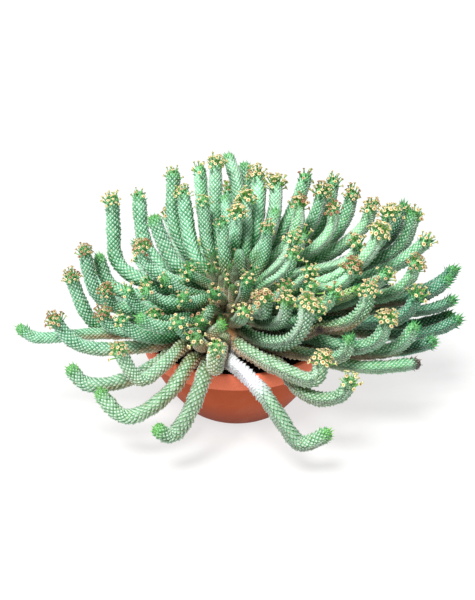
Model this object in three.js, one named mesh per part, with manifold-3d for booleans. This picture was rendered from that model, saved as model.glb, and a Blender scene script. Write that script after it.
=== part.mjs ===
// Potted medusa-head euphorbia: a terracotta bowl of soil with a short caudex that carries
// long tubercled arms, which fork near their roots and end in flowers and small leaves.
// Millimetres, +Z up, origin at the middle of the pot's base. -Y is the front.

import * as THREE from 'three';
import { mergeVertices } from 'three/addons/utils/BufferGeometryUtils.js';
import Module from 'manifold-3d';

const wasm = await Module();
wasm.setup();

const gap = 0.3;

const pot = {
  rimRadius: 140,
  height: 118,
  bandHeight: 24,
  bandStep: 4,
  baseRadius: 79,
  bulge: 6,
  wall: 8,
  floor: 9,
  sides: 30,
  curveSteps: 4,
  drainHoles: 3,
  drainRadius: 5,
  drainReach: 42,
};

const soil = { top: 105, dip: 2, rings: 3 };

// The caudex stands a little left of the pot's middle.
const caudex = {
  middle: new THREE.Vector3(-12, 0, 125),
  radius: 56,
  rise: 50,
  rootBottom: 40,
  rootRadius: 14,
  sides: 28,
  rings: 10,
  lowestTurn: -0.28,
  roughness: 0.006,
};

const arm = {
  rootRadius: 6.6,
  rootGap: 0.15,
  rootSunk: 4,
  forkNarrowing: 0.6,
  thickenBy: 62,
  straightStart: 20,
  step: 8,
  finerStep: 2,
  cornerCuts: 3,
  sides: 4,
  fewestRings: 4,
  tuberclePitch: 17,
  tipNarrowing: 0.8,
  tipLength: 7,
  crownLength: 8,
  headLength: 9,
  forkStart: 12,
  forkReach: 48,
};

const rooting = { rounds: 400, between: 2, aboveSoil: 1.5, share: 0.3 };

const settling = {
  rounds: 140,
  clear: 2.4,
  pressedClear: 1,
  nearby: 45,
  share: 0.5,
  strongest: 3,
  heldRoot: 12,
  headRadius: 15,
  headReach: 11,
  floorClear: 3,
  potClear: 1.2,
  caudexClear: 1.5,
  liftedBelow: 24,
};

// The crown of loops at an arm's end: flowers stand out, leaves stand forward.
const outerFlowers = { prongs: 5, parity: 0, reach: 15, valley: 6.5, forward: 5, setBack: 3 };
const innerFlowers = { prongs: 5, parity: 1, reach: 10, valley: 4, forward: 12, setBack: 6 };
const outerLeaves = { prongs: 4, parity: 0, reach: 11, valley: 5, forward: 13, setBack: 4 };
const tips = {
  flowers: [outerFlowers, innerFlowers],
  few: [outerFlowers],
  both: [outerFlowers, { ...innerFlowers, reach: 7, valley: 3, forward: 17 }],
  leaves: [outerLeaves],
  bare: [],
};

const colours = {
  terracotta: 0xb4573a,
  soil: 0x2a1f19,
  caudex: 0x9a7b58,
  arm: 0x7fb594,
  whiteArm: 0xe6e8ee,
};

// Each node's arms, as [half thickness, tip, corners of its way: right, back, up].
const armNodes = {
  arm_front_01: [
    [12, 'leaves',
      [-14, -108, 125], [2, -140, 131], [32, -182, 124], [66, -208, 80], [86, -212, 48], [128, -218, 80]],
  ],
  arm_front_02: [
    [12, 'leaves', [-35, -136, 131], [-45, -172, 122], [-62, -196, 92], [-88, -212, 60], [-110, -218, 88]],
  ],
  arm_front_03: [[11.5, 'flowers', [-36, -125, 135], [-35, -182, 138], [-28, -195, 198]]],
  arm_front_04: [[11.5, 'leaves', [-66, -122, 130], [-92, -172, 106], [-155, -178, 64], [-190, -168, 118]]],
  arm_front_05: [
    [11.5, 'leaves',
      [-76, -92, 126], [-122, -140, 121], [-176, -150, 108], [-214, -146, 106], [-233, -140, 137]],
    [10.5, 'flowers', [-66, -110, 145], [-100, -155, 138], [-132, -172, 122], [-160, -172, 184]],
  ],
  arm_front_06: [
    [10, 'both', [-54, -90, 140], [-66, -150, 192]],
    [10, 'leaves', [-42, -84, 146], [-34, -108, 160], [-16, -120, 189]],
  ],
  arm_front_07: [[10.5, 'flowers', [0, -80, 170], [5, -140, 217]]],
  arm_front_08: [[10, 'few', [-35, -60, 190], [-45, -95, 176], [-46, -115, 193]]],
  arm_front_09: [
    [10.5, 'flowers', [20, -60, 190], [45, -110, 195], [42, -125, 236]],
    [9.5, 'flowers', [35, -50, 182], [70, -80, 205], [70, -85, 234]],
  ],
  arm_front_10: [[10, 'flowers', [40, -70, 165], [70, -130, 198], [70, -140, 239]]],
  arm_front_11: [[12, 'flowers', [12, -80, 145], [66, -132, 160], [90, -150, 205], [84, -152, 247]]],
  arm_front_12: [
    [12, 'flowers', [-8, -100, 146], [22, -124, 136], [70, -150, 120], [108, -172, 116], [114, -175, 168]],
    [11, 'both', [26, -98, 122], [60, -144, 126], [98, -178, 104], [145, -184, 112], [154, -185, 148]],
  ],
  arm_left_01: [
    [9.5, 'leaves', [-70, -25, 142], [-130, -36, 142], [-230, -50, 140], [-295, -55, 130], [-319, -55, 155]],
  ],
  arm_left_02: [[11, 'flowers', [-60, -42, 142], [-112, -70, 138], [-228, -86, 128], [-260, -85, 186]]],
  arm_left_03: [[11, 'flowers', [-45, -20, 160], [-130, -30, 142], [-215, -35, 130], [-240, -35, 230]]],
  arm_left_04: [
    [11, 'flowers', [-86, -5, 160], [-145, 5, 145], [-215, 15, 160], [-225, 20, 248]],
    [11, 'leaves', [-80, 8, 174], [-130, 20, 164], [-195, 40, 170], [-206, 45, 228]],
  ],
  arm_left_05: [
    [10, 'flowers', [-45, -30, 155], [-125, -60, 142], [-180, -70, 150], [-193, -75, 189]],
    [10, 'both', [-50, -40, 142], [-102, -85, 146], [-150, -102, 165], [-164, -105, 196]],
  ],
  arm_left_06: [
    [10, 'leaves', [-50, -60, 158], [-105, -115, 175], [-138, -128, 208]],
    [9.5, 'few', [-50, -60, 142], [-70, -115, 155], [-79, -138, 196]],
  ],
  arm_left_07: [
    [10.5, 'flowers', [-45, -15, 165], [-135, -30, 160], [-185, -40, 175], [-186, -45, 212]],
    [10, 'flowers', [-45, -25, 165], [-125, -50, 165], [-150, -60, 195], [-150, -65, 220]],
  ],
  arm_left_08: [
    [12, 'flowers', [-40, 10, 180], [-115, 30, 170], [-190, 55, 194], [-188, 70, 260], [-187, 70, 310]],
  ],
  arm_left_09: [
    [12, 'both', [-35, 30, 185], [-115, 60, 190], [-147, 85, 230], [-149, 100, 306]],
    [12, 'leaves', [-35, 10, 190], [-82, 25, 212], [-104, 35, 240], [-124, 40, 290]],
  ],
  arm_left_10: [
    [10.5, 'flowers', [-35, -10, 185], [-100, -15, 200], [-135, -20, 225], [-138, -20, 265]],
    [9.5, 'flowers', [-40, -5, 178], [-100, -10, 180], [-129, -20, 205]],
  ],
  arm_left_11: [[12, 'both', [-35, 40, 195], [-84, 75, 225], [-99, 105, 270], [-96, 120, 334]]],
  arm_left_12: [
    [12, 'flowers', [-35, 25, 200], [-54, 55, 225], [-67, 80, 265], [-75, 90, 314]],
    [10.5, 'both', [-30, 30, 202], [-50, 60, 230], [-55, 80, 298]],
  ],
  arm_left_13: [
    [10, 'flowers', [-45, -35, 165], [-90, -75, 165], [-114, -95, 194]],
    [9.5, 'flowers', [-45, -40, 175], [-110, -75, 190], [-130, -88, 222]],
  ],
  arm_left_14: [
    [10, 'flowers', [-40, -30, 180], [-75, -75, 190], [-82, -90, 215]],
    [9.5, 'flowers', [-40, -15, 176], [-80, -40, 190], [-106, -55, 225]],
  ],
  arm_back_01: [
    [11, 'few', [-25, 60, 195], [-40, 90, 240], [-50, 135, 285], [-52, 150, 332]],
    [11, 'flowers', [-15, 50, 200], [-28, 80, 240], [-35, 120, 280], [-37, 140, 342]],
  ],
  arm_back_02: [
    [11, 'leaves', [-5, 60, 200], [13, 90, 235], [10, 140, 285], [-12, 175, 341]],
    [9, 'leaves', [-10, 50, 195], [-15, 75, 240], [-18, 100, 297]],
  ],
  arm_back_03: [
    [11, 'leaves', [5, 70, 190], [20, 110, 225], [15, 165, 280], [10, 185, 325]],
    [10.5, 'flowers', [0, 95, 176], [-8, 160, 214], [-12, 205, 276]],
  ],
  arm_back_04: [
    [10.5, 'flowers', [0, 45, 195], [5, 75, 235], [5, 100, 297]],
    [10, 'flowers', [-5, 25, 200], [0, 40, 230], [2, 50, 290]],
  ],
  arm_back_05: [
    [12.5, 'flowers', [10, 55, 195], [27, 85, 230], [36, 130, 280], [32, 150, 320]],
    [10.5, 'leaves', [24, 80, 176], [52, 150, 208], [64, 195, 262]],
  ],
  arm_back_06: [
    [11, 'flowers', [15, 50, 195], [40, 80, 225], [55, 115, 265], [56, 130, 312]],
    [9.5, 'leaves', [25, 40, 195], [55, 55, 235], [63, 60, 287]],
  ],
  arm_back_07: [
    [11, 'leaves', [45, 45, 135], [112, 92, 138], [185, 148, 132], [208, 165, 168]],
    [10.5, 'flowers', [50, 60, 150], [105, 125, 176], [155, 180, 202]],
  ],
  arm_back_08: [
    [11, 'flowers', [22, 60, 135], [70, 130, 138], [115, 205, 122], [128, 226, 160]],
    [10.5, 'both', [30, 70, 150], [60, 145, 180], [82, 205, 212]],
  ],
  arm_back_09: [
    [11, 'leaves', [0, 65, 135], [18, 145, 138], [30, 232, 116], [34, 256, 150]],
    [10.5, 'flowers', [0, 75, 152], [10, 150, 190], [14, 205, 252]],
  ],
  arm_back_10: [
    [11, 'flowers', [-25, 65, 135], [-40, 145, 138], [-52, 228, 120], [-56, 250, 158]],
    [10.5, 'leaves', [-30, 75, 152], [-45, 150, 190], [-52, 200, 250]],
  ],
  arm_back_11: [
    [11, 'both', [-48, 58, 135], [-95, 120, 138], [-150, 186, 122], [-168, 204, 158]],
    [10.5, 'flowers', [-50, 65, 152], [-90, 125, 188], [-112, 168, 245]],
  ],
  arm_back_12: [
    [11, 'flowers', [-62, 35, 135], [-130, 66, 138], [-212, 106, 128], [-235, 118, 168]],
    [10.5, 'leaves', [-62, 45, 152], [-125, 95, 178], [-165, 135, 208]],
  ],
  arm_right_01: [
    [11.5, 'both', [28, 60, 195], [53, 90, 223], [92, 140, 260], [110, 150, 318]],
    [11.5, 'both', [40, 60, 182], [100, 95, 205], [145, 140, 245], [152, 150, 311]],
  ],
  arm_right_02: [
    [10.5, 'flowers', [30, 25, 192], [75, 45, 212], [95, 60, 255], [93, 60, 302]],
    [10, 'flowers', [45, 30, 185], [115, 50, 220], [145, 60, 255], [146, 60, 296]],
    [9, 'few', [40, 15, 195], [90, 30, 225], [99, 30, 265]],
  ],
  arm_right_03: [
    [11, 'flowers', [30, 45, 195], [91, 75, 217], [125, 105, 269], [132, 110, 308]],
    [11.5, 'flowers', [50, 55, 175], [120, 85, 205], [170, 115, 245], [179, 120, 301]],
  ],
  arm_right_04: [
    [10, 'both', [30, 0, 200], [70, 0, 230], [81, 0, 274]],
    [9.5, 'flowers', [35, -20, 195], [75, -45, 230], [85, -50, 267]],
  ],
  arm_right_05: [[11, 'flowers', [60, 40, 180], [142, 70, 208], [198, 85, 248], [206, 85, 290]]],
  arm_right_06: [
    [11.5, 'flowers', [65, 20, 185], [165, 30, 205], [215, 40, 240], [228, 40, 297]],
    [11, 'flowers', [70, 0, 185], [160, 0, 215], [195, -5, 250], [203, -5, 290]],
  ],
  arm_right_07: [
    [11.5, 'leaves', [65, 40, 175], [160, 70, 195], [240, 90, 225], [258, 95, 289]],
    [12, 'both', [75, 30, 168], [175, 45, 195], [255, 60, 225], [266, 60, 290]],
  ],
  arm_right_08: [[11.5, 'both', [80, 15, 160], [180, 20, 185], [246, 25, 216], [286, 25, 258]]],
  arm_right_09: [
    [11, 'flowers', [70, 0, 160], [170, -10, 165], [246, -20, 188], [262, -20, 243]],
    [11, 'both', [65, -10, 155], [155, -30, 170], [218, -45, 234]],
  ],
  arm_right_10: [
    [11.5, 'flowers', [40, -32, 126], [90, -66, 128], [155, -90, 160], [180, -100, 200], [182, -105, 242]],
    [11, 'leaves', [80, -42, 122], [150, -90, 122], [230, -95, 130], [253, -95, 178]],
  ],
  arm_right_11: [
    [10, 'flowers', [55, -10, 180], [135, -20, 195], [165, -20, 215], [168, -20, 243]],
    [9.5, 'both', [65, 0, 190], [145, 5, 205], [175, 5, 225], [177, 5, 259]],
  ],
  arm_right_12: [
    [11, 'leaves', [80, 20, 155], [185, 25, 170], [294, 25, 164], [331, 25, 209]],
    [10.5, 'leaves', [80, 5, 150], [185, 5, 160], [286, 5, 161], [324, 0, 197]],
  ],
  arm_right_13: [
    [9.5, 'leaves', [80, -5, 150], [160, -14, 158], [225, -8, 159], [295, -2, 158], [325, 0, 176]],
    [11, 'leaves', [80, 5, 142], [155, 10, 132], [270, 10, 116], [328, 5, 149]],
  ],
  arm_right_14: [
    [11, 'both', [70, -20, 145], [165, -40, 150], [245, -50, 160], [262, -50, 208]],
    [9.5, 'leaves', [50, -20, 160], [135, -50, 185], [178, -60, 215]],
  ],
  arm_right_15: [
    [11.5, 'flowers', [65, -60, 140], [145, -105, 136], [200, -115, 155], [208, -115, 204]],
    [10, 'flowers', [40, -60, 160], [95, -100, 175], [112, -108, 215]],
  ],
  arm_right_16: [
    [10, 'leaves', [80, -15, 138], [145, -25, 135], [245, -25, 120], [300, -25, 133], [331, -25, 158]],
    [10.5, 'leaves', [80, -32, 126], [135, -60, 131], [235, -70, 116], [290, -75, 141]],
  ],
  arm_right_17: [[10.5, 'bare', [50, -55, 124], [106, -110, 126], [175, -115, 117], [263, -105, 122]]],
  arm_right_18: [
    [10.5, 'leaves', [36, -56, 126], [90, -102, 134], [155, -125, 134], [155, -135, 181]],
    [7, 'bare', [50, -70, 145], [95, -100, 155], [125, -110, 180]],
  ],
  arm_right_19: [
    [9.5, 'flowers', [50, -20, 175], [90, -50, 210], [106, -60, 243]],
    [9.5, 'flowers', [50, -40, 170], [120, -75, 195], [135, -85, 231]],
    [9.5, 'flowers', [46, -42, 172], [100, -75, 200], [110, -85, 233]],
  ],
};

// The short arms of the middle, fused with the caudex.
const youngArms = [
  [8.5, 'few', [-35, 0, 190], [-73, 0, 223]],
  [8, 'few', [-35, -12, 188], [-79, -30, 223]],
  [9, 'bare', [0, 0, 200], [0, 0, 254]],
  [9.5, 'flowers', [-25, -50, 190], [-34, -90, 221]],
  [9.5, 'flowers', [15, -60, 195], [18, -90, 241]],
  [10, 'flowers', [-15, 10, 205], [-20, 15, 250], [-21, 20, 291]],
  [9.5, 'flowers', [15, 10, 205], [35, 20, 230], [41, 20, 283]],
  [8, 'bare', [-26, 4, 190], [-36, 2, 206]],
  [7.5, 'leaves', [2, 12, 190], [6, 18, 210]],
  [7.5, 'leaves', [-14, 22, 192], [-18, 34, 216]],
];

// A mesh with its shared corners merged and its flat scraps dropped, facing outwards.
function closed(geometry) {
  geometry.deleteAttribute('normal');
  geometry.deleteAttribute('uv');
  const merged = mergeVertices(geometry, 1e-3);
  const corners = merged.index.array;
  const kept = [];
  for (let i = 0; i < corners.length; i += 3) {
    const [a, b, c] = [corners[i], corners[i + 1], corners[i + 2]];
    if (a !== b && b !== c && c !== a) kept.push(a, b, c);
  }
  merged.setIndex(kept);
  if (volume(merged) < 0) {
    for (let i = 0; i < kept.length; i += 3) [kept[i], kept[i + 1]] = [kept[i + 1], kept[i]];
    merged.setIndex(kept);
  }
  return merged;
}

function volume(geometry) {
  const place = geometry.attributes.position;
  const corners = geometry.index.array;
  const [a, b, c] = [new THREE.Vector3(), new THREE.Vector3(), new THREE.Vector3()];
  let sum = 0;
  for (let i = 0; i < corners.length; i += 3) {
    a.fromBufferAttribute(place, corners[i]);
    b.fromBufferAttribute(place, corners[i + 1]);
    c.fromBufferAttribute(place, corners[i + 2]);
    sum += a.dot(b.cross(c)) / 6;
  }
  return sum;
}

function toSolid(geometry) {
  const ready = closed(geometry);
  return new wasm.Manifold(new wasm.Mesh({
    numProp: 3,
    vertProperties: new Float32Array(ready.attributes.position.array),
    triVerts: new Uint32Array(ready.index.array),
  }));
}

function toGeometry(solid) {
  const mesh = solid.getMesh();
  const geometry = new THREE.BufferGeometry();
  geometry.setAttribute('position', new THREE.BufferAttribute(new Float32Array(mesh.vertProperties), 3));
  geometry.setIndex(new THREE.BufferAttribute(new Uint32Array(mesh.triVerts), 1));
  return geometry;
}

function named(name, geometry, colour) {
  const material = new THREE.MeshStandardMaterial({ color: colour, roughness: 0.75, metalness: 0 });
  const mesh = new THREE.Mesh(geometry, material);
  mesh.name = name;
  return mesh;
}

// A profile of [radius, height] points turned round the vertical axis.
function turned(profile, sides) {
  const points = profile.map(([radius, height]) => new THREE.Vector2(radius, height));
  return new THREE.LatheGeometry(points, sides).rotateX(Math.PI / 2);
}

function seeded(seed) {
  let state = seed;
  return () => {
    state = (state * 16807) % 2147483647;
    return state / 2147483647;
  };
}

function potOutside() {
  const bandBottom = pot.height - pot.bandHeight;
  const top = pot.rimRadius - pot.bandStep;
  const profile = [];
  for (let i = 0; i <= pot.curveSteps; i += 1) {
    const t = i / pot.curveSteps;
    const bulge = pot.bulge * Math.sin(Math.PI * t);
    profile.push([pot.baseRadius + (top - pot.baseRadius) * t + bulge, bandBottom * t]);
  }
  return profile;
}

function potInside(clear) {
  const bandBottom = pot.height - pot.bandHeight;
  const inside = pot.rimRadius - pot.wall - clear;
  const base = pot.baseRadius - pot.wall - clear;
  const low = pot.floor + clear;
  const profile = [];
  for (let i = 0; i <= pot.curveSteps; i += 1) {
    const t = i / pot.curveSteps;
    const bulge = pot.bulge * Math.sin(Math.PI * t);
    profile.push([base + (inside - base) * t + bulge, low + (bandBottom - low) * t]);
  }
  return profile;
}

function buildPot() {
  const bandBottom = pot.height - pot.bandHeight;
  const lip = pot.wall / 4;
  const inside = pot.rimRadius - pot.wall;
  const profile = [
    [0, 0],
    ...potOutside(),
    [pot.rimRadius, bandBottom + lip],
    [pot.rimRadius, pot.height - lip],
    [pot.rimRadius - lip, pot.height],
    [inside + lip, pot.height],
    [inside, pot.height - lip],
    ...potInside(0).reverse(),
    [0, pot.floor],
  ];
  let body = toSolid(turned(profile, pot.sides));
  for (let i = 0; i < pot.drainHoles; i += 1) {
    const angle = (2 * Math.PI * (i + 0.5)) / pot.drainHoles;
    const hole = new THREE.CylinderGeometry(pot.drainRadius, pot.drainRadius, pot.floor * 3, 6)
      .rotateX(Math.PI / 2)
      .translate(pot.drainReach * Math.sin(angle), pot.drainReach * Math.cos(angle), 0);
    body = body.subtract(toSolid(hole));
  }
  return named('pot', toGeometry(body), colours.terracotta);
}

// The caudex from its buried root to its domed top, larger all over by the given clearance.
function caudexProfile(clear) {
  const { middle, radius, rise, rootBottom, rootRadius, rings, lowestTurn } = caudex;
  const profile = [[0, rootBottom - clear], [rootRadius + clear, rootBottom - clear]];
  for (let i = 1; i <= rings; i += 1) {
    const angle = Math.PI * (lowestTurn + ((0.5 - lowestTurn) * i) / rings);
    profile.push([(radius + clear) * Math.cos(angle), middle.z + (rise + clear) * Math.sin(angle)]);
  }
  profile[profile.length - 1][0] = 0;
  return profile;
}

function buildSoil() {
  const random = seeded(71);
  const reach = pot.rimRadius - pot.wall - gap;
  const profile = [[0, pot.floor + gap], ...potInside(gap), [reach, soil.top]];
  for (let i = 1; i <= soil.rings; i += 1) profile.push([reach * (1 - i / soil.rings), soil.top]);
  const lump = closed(turned(profile, pot.sides));
  const place = lump.attributes.position;
  for (let i = 0; i < place.count; i += 1) {
    const inner = Math.hypot(place.getX(i), place.getY(i)) < reach * 0.98;
    if (inner && Math.abs(place.getZ(i) - soil.top) < gap) place.setZ(i, soil.top - soil.dip * random());
  }
  const hole = turned(caudexProfile(gap), caudex.sides).translate(caudex.middle.x, caudex.middle.y, 0);
  return named('soil', toGeometry(toSolid(lump).subtract(toSolid(hole))), colours.soil);
}

function caudexBody() {
  const random = seeded(29);
  const body = closed(turned(caudexProfile(0), caudex.sides));
  const place = body.attributes.position;
  for (let i = 0; i < place.count; i += 1) {
    const shrink = 1 - caudex.roughness * random();
    place.setXYZ(i, place.getX(i) * shrink, place.getY(i) * shrink, place.getZ(i));
  }
  return body.translate(caudex.middle.x, caudex.middle.y, 0);
}

// Where a way from the caudex's middle leaves its surface.
function onCaudex(toward) {
  const { middle, radius, rise } = caudex;
  const way = toward.clone().sub(middle);
  const scale = Math.hypot(way.x / radius, way.y / radius, way.z / rise);
  return way.divideScalar(scale).add(middle);
}

function outOfCaudex(place) {
  const { middle, radius, rise } = caudex;
  const away = place.clone().sub(middle);
  return away.set(away.x / radius ** 2, away.y / radius ** 2, away.z / rise ** 2).normalize();
}

// Roots slide over the caudex until they no longer touch each other or the soil.
function spreadRoots(roots) {
  const spacing = 2 * arm.rootRadius + rooting.between;
  const lowest = soil.top + arm.rootRadius + rooting.aboveSoil;
  for (let round = 0; round < rooting.rounds; round += 1) {
    const moves = roots.map(() => new THREE.Vector3());
    for (let i = 0; i < roots.length; i += 1) {
      for (let j = i + 1; j < roots.length; j += 1) {
        const between = roots[i].clone().sub(roots[j]);
        const far = between.length();
        if (far >= spacing) continue;
        between.multiplyScalar((rooting.share * (spacing - far)) / far);
        moves[i].add(between);
        moves[j].sub(between);
      }
    }
    roots.forEach((root, i) => {
      root.add(moves[i]);
      root.z = Math.max(root.z, lowest);
      root.copy(onCaudex(root));
    });
  }
}

// Corners cut again and again, then points an even step apart along the way.
function smoothWay(corners) {
  let line = corners;
  for (let cut = 0; cut < arm.cornerCuts; cut += 1) {
    const next = [line[0]];
    for (let i = 0; i + 1 < line.length; i += 1) {
      if (i > 0) next.push(line[i].clone().lerp(line[i + 1], 0.25));
      if (i + 2 < line.length) next.push(line[i].clone().lerp(line[i + 1], 0.75));
    }
    next.push(line[line.length - 1]);
    line = next;
  }
  return evenly(line, Math.round(lengthOf(line) / arm.step));
}

function lengthOf(line) {
  let sum = 0;
  for (let i = 1; i < line.length; i += 1) sum += line[i].distanceTo(line[i - 1]);
  return sum;
}

function evenly(line, pieces) {
  const total = lengthOf(line);
  const points = [];
  let walked = 0;
  let at = 1;
  for (let k = 0; k <= pieces; k += 1) {
    const target = (total * k) / pieces;
    while (at < line.length - 1 && walked + line[at].distanceTo(line[at - 1]) < target) {
      walked += line[at].distanceTo(line[at - 1]);
      at += 1;
    }
    const share = Math.min(1, (target - walked) / line[at].distanceTo(line[at - 1]));
    points.push(line[at - 1].clone().lerp(line[at], share));
  }
  return points;
}

function thickness(halfThick, along, fork) {
  const start = fork ? arm.rootRadius * arm.forkNarrowing : arm.rootRadius;
  const t = Math.min(1, Math.max(0, along / arm.thickenBy));
  return start + (halfThick - start) * t * t * (3 - 2 * t);
}

// Every arm with its root, its way and how thick it is along that way.
function layOutArms() {
  const groups = Object.entries(armNodes);
  youngArms.forEach((row) => groups.push(['caudex', [row]]));
  const roots = groups.map(([, rows]) => {
    const toward = new THREE.Vector3();
    rows.forEach((row) => toward.add(new THREE.Vector3(...row[2])));
    return onCaudex(toward.divideScalar(rows.length));
  });
  spreadRoots(roots);
  const laid = [];
  groups.forEach(([node, rows], g) => {
    rows.forEach(([halfThick, tip, ...corners], fork) => {
      const root = roots[g];
      const start = root.clone().addScaledVector(outOfCaudex(root), arm.straightStart);
      const way = [root, start];
      corners.forEach((corner) => {
        const point = new THREE.Vector3(...corner);
        way.push(point.add(clearOfCaudex(point, halfThick)));
      });
      const line = smoothWay(way);
      const step = lengthOf(line) / (line.length - 1);
      const radii = line.map((point, i) => thickness(halfThick, i * step, fork > 0));
      laid.push({ node, group: g, fork, tip, line, step, radii });
    });
  });
  return laid;
}

// How far a point of an arm must move to lie clear of the soil, the rim, the floor and the caudex.
function clearOfPot(point, radius, along) {
  const move = new THREE.Vector3();
  const reach = Math.hypot(point.x, point.y);
  const lipMiddle = pot.rimRadius - pot.wall / 2;
  const lipHeight = pot.height - pot.wall / 2;
  const need = radius + pot.wall / 2 + settling.potClear;
  const beside = Math.abs(reach - lipMiddle);
  if (reach < lipMiddle) move.z = Math.max(0, soil.top + radius + settling.potClear - point.z);
  move.z = Math.max(move.z, radius + settling.floorClear - point.z);
  if (beside < need) {
    const over = lipHeight + Math.sqrt(need ** 2 - beside ** 2) - point.z;
    const outward = new THREE.Vector3(point.x, point.y, 0).multiplyScalar((need - beside) / reach);
    if (over > 0 && (over < settling.liftedBelow || reach < lipMiddle)) move.z = Math.max(move.z, over);
    else if (over > 0) move.add(outward);
  }
  if (along > arm.straightStart) move.add(clearOfCaudex(point, radius));
  return move;
}

function clearOfCaudex(point, radius) {
  const away = point.clone().sub(caudex.middle);
  const wide = caudex.radius + radius + settling.caudexClear;
  const high = caudex.rise + radius + settling.caudexClear;
  const inside = Math.hypot(away.x / wide, away.y / wide, away.z / high);
  return away.multiplyScalar(Math.max(0, 1 / inside - 1));
}

function closePairs(points, within) {
  const pairs = [];
  for (let i = 0; i < points.length; i += 1) {
    for (let j = i + 1; j < points.length; j += 1) {
      const [a, b] = [points[i], points[j]];
      if (a.arm === b.arm) continue;
      if (a.arm.group === b.arm.group && a.along < arm.forkReach && b.along < arm.forkReach) continue;
      if (a.place.distanceTo(b.place) < a.wide + b.wide + within) pairs.push([a, b]);
    }
  }
  return pairs;
}

// The arms push each other apart, and their ways stay smooth.
function settle(arms) {
  const points = [];
  arms.forEach((one) => {
    one.points = one.line.map((place, k) => {
      const along = k * one.step;
      const fromTip = lengthOf(one.line) - along;
      const head = tips[one.tip].length > 0 && fromTip < settling.headReach;
      const wide = Math.max(one.radii[k], head ? settling.headRadius : 0);
      return { arm: one, place, home: place.clone(), moved: new THREE.Vector3(), along, wide };
    });
    points.push(...one.points);
  });
  const pairs = closePairs(points, settling.nearby);
  const between = new THREE.Vector3();
  for (let round = 0; round < settling.rounds; round += 1) {
    points.forEach((point) => { point.push = new THREE.Vector3(); });
    for (const [a, b] of pairs) {
      between.subVectors(a.place, b.place);
      const far = between.length();
      const need = a.wide + b.wide + settling.clear;
      if (far >= need) continue;
      between.multiplyScalar((settling.share * (need - far)) / far);
      a.push.add(between);
      b.push.sub(between);
    }
    points.forEach((point) => {
      point.push.clampLength(0, settling.strongest);
      point.moved.add(point.push);
    });
    arms.forEach((one) => smoothMoves(one.points));
    points.forEach((point) => {
      point.place.copy(point.home).add(point.moved);
      const lift = clearOfPot(point.place, point.wide, point.along);
      if (point.along > settling.heldRoot) {
        point.moved.add(lift);
        point.place.add(lift);
      }
    });
  }
  return closePairs(points, settling.clear);
}

function smoothMoves(points) {
  const last = points.length - 1;
  const smooth = points.map((point, k) => {
    if (point.along < settling.heldRoot) return new THREE.Vector3();
    const before = points[k - 1].moved;
    const after = points[Math.min(k + 1, last)].moved;
    return before.clone().add(after).multiplyScalar(0.25).addScaledVector(point.moved, 0.5);
  });
  points.forEach((point, k) => point.moved.copy(smooth[k]));
}

// Where two arms still press each other, both are a little thinner.
function thinWherePressed(pairs) {
  for (const [a, b] of pairs) {
    const room = a.place.distanceTo(b.place) - settling.pressedClear;
    const share = room / (a.wide + b.wide);
    if (share >= 1) continue;
    for (const point of [a, b]) {
      const k = point.arm.points.indexOf(point);
      for (const near of [k - 1, k, k + 1]) {
        if (near < 0 || near >= point.arm.radii.length) continue;
        point.arm.radii[near] = Math.min(point.arm.radii[near], point.wide * share);
      }
    }
  }
}

// Frames along a way that turn with it and never twist. The first looks straight out of the caudex.
function framesAlong(line, out) {
  let side = Math.abs(out.z) > 0.9 ? new THREE.Vector3(1, 0, 0) : new THREE.Vector3(0, 0, 1);
  return line.map((place, i) => {
    const next = line[Math.min(i + 1, line.length - 1)];
    const ahead = i === 0 ? out : next.clone().sub(line[i - 1]).normalize();
    side = side.clone().addScaledVector(ahead, -side.dot(ahead)).normalize();
    return { ahead, side, across: ahead.clone().cross(side) };
  });
}

// A loop of corners round a point of the way. Raised corners stand out and forward of the others.
function loopOf(middle, frame, form) {
  const count = form.prongs ? 2 * form.prongs : arm.sides;
  const loop = [];
  for (let k = 0; k < count; k += 1) {
    const angle = form.turn + (2 * Math.PI * k) / count;
    const raised = !form.prongs || k % 2 === form.parity;
    const reach = raised ? form.reach : form.valley;
    const corner = middle.clone().addScaledVector(frame.ahead, raised ? form.forward : form.setBack);
    corner.addScaledVector(frame.side, reach * Math.cos(angle));
    corner.addScaledVector(frame.across, reach * Math.sin(angle));
    loop.push({ corner, angle });
  }
  return loop;
}

// Triangles between two loops, always closing the smaller step of angle next.
function bridge(lower, upper, faces) {
  const full = 2 * Math.PI;
  const angleAt = (loop, i) => loop[i % loop.length].angle + full * Math.floor(i / loop.length);
  let i = 0;
  let j = 0;
  while (i < lower.length || j < upper.length) {
    const lowerNext = angleAt(lower, i + 1) < angleAt(upper, j + 1);
    const stepLower = j >= upper.length || (i < lower.length && lowerNext);
    const [a, b] = [lower[i % lower.length].index, upper[j % upper.length].index];
    if (stepLower) i += 1;
    else j += 1;
    faces.push(a, (stepLower ? lower[i % lower.length] : upper[j % upper.length]).index, b);
  }
}

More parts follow.
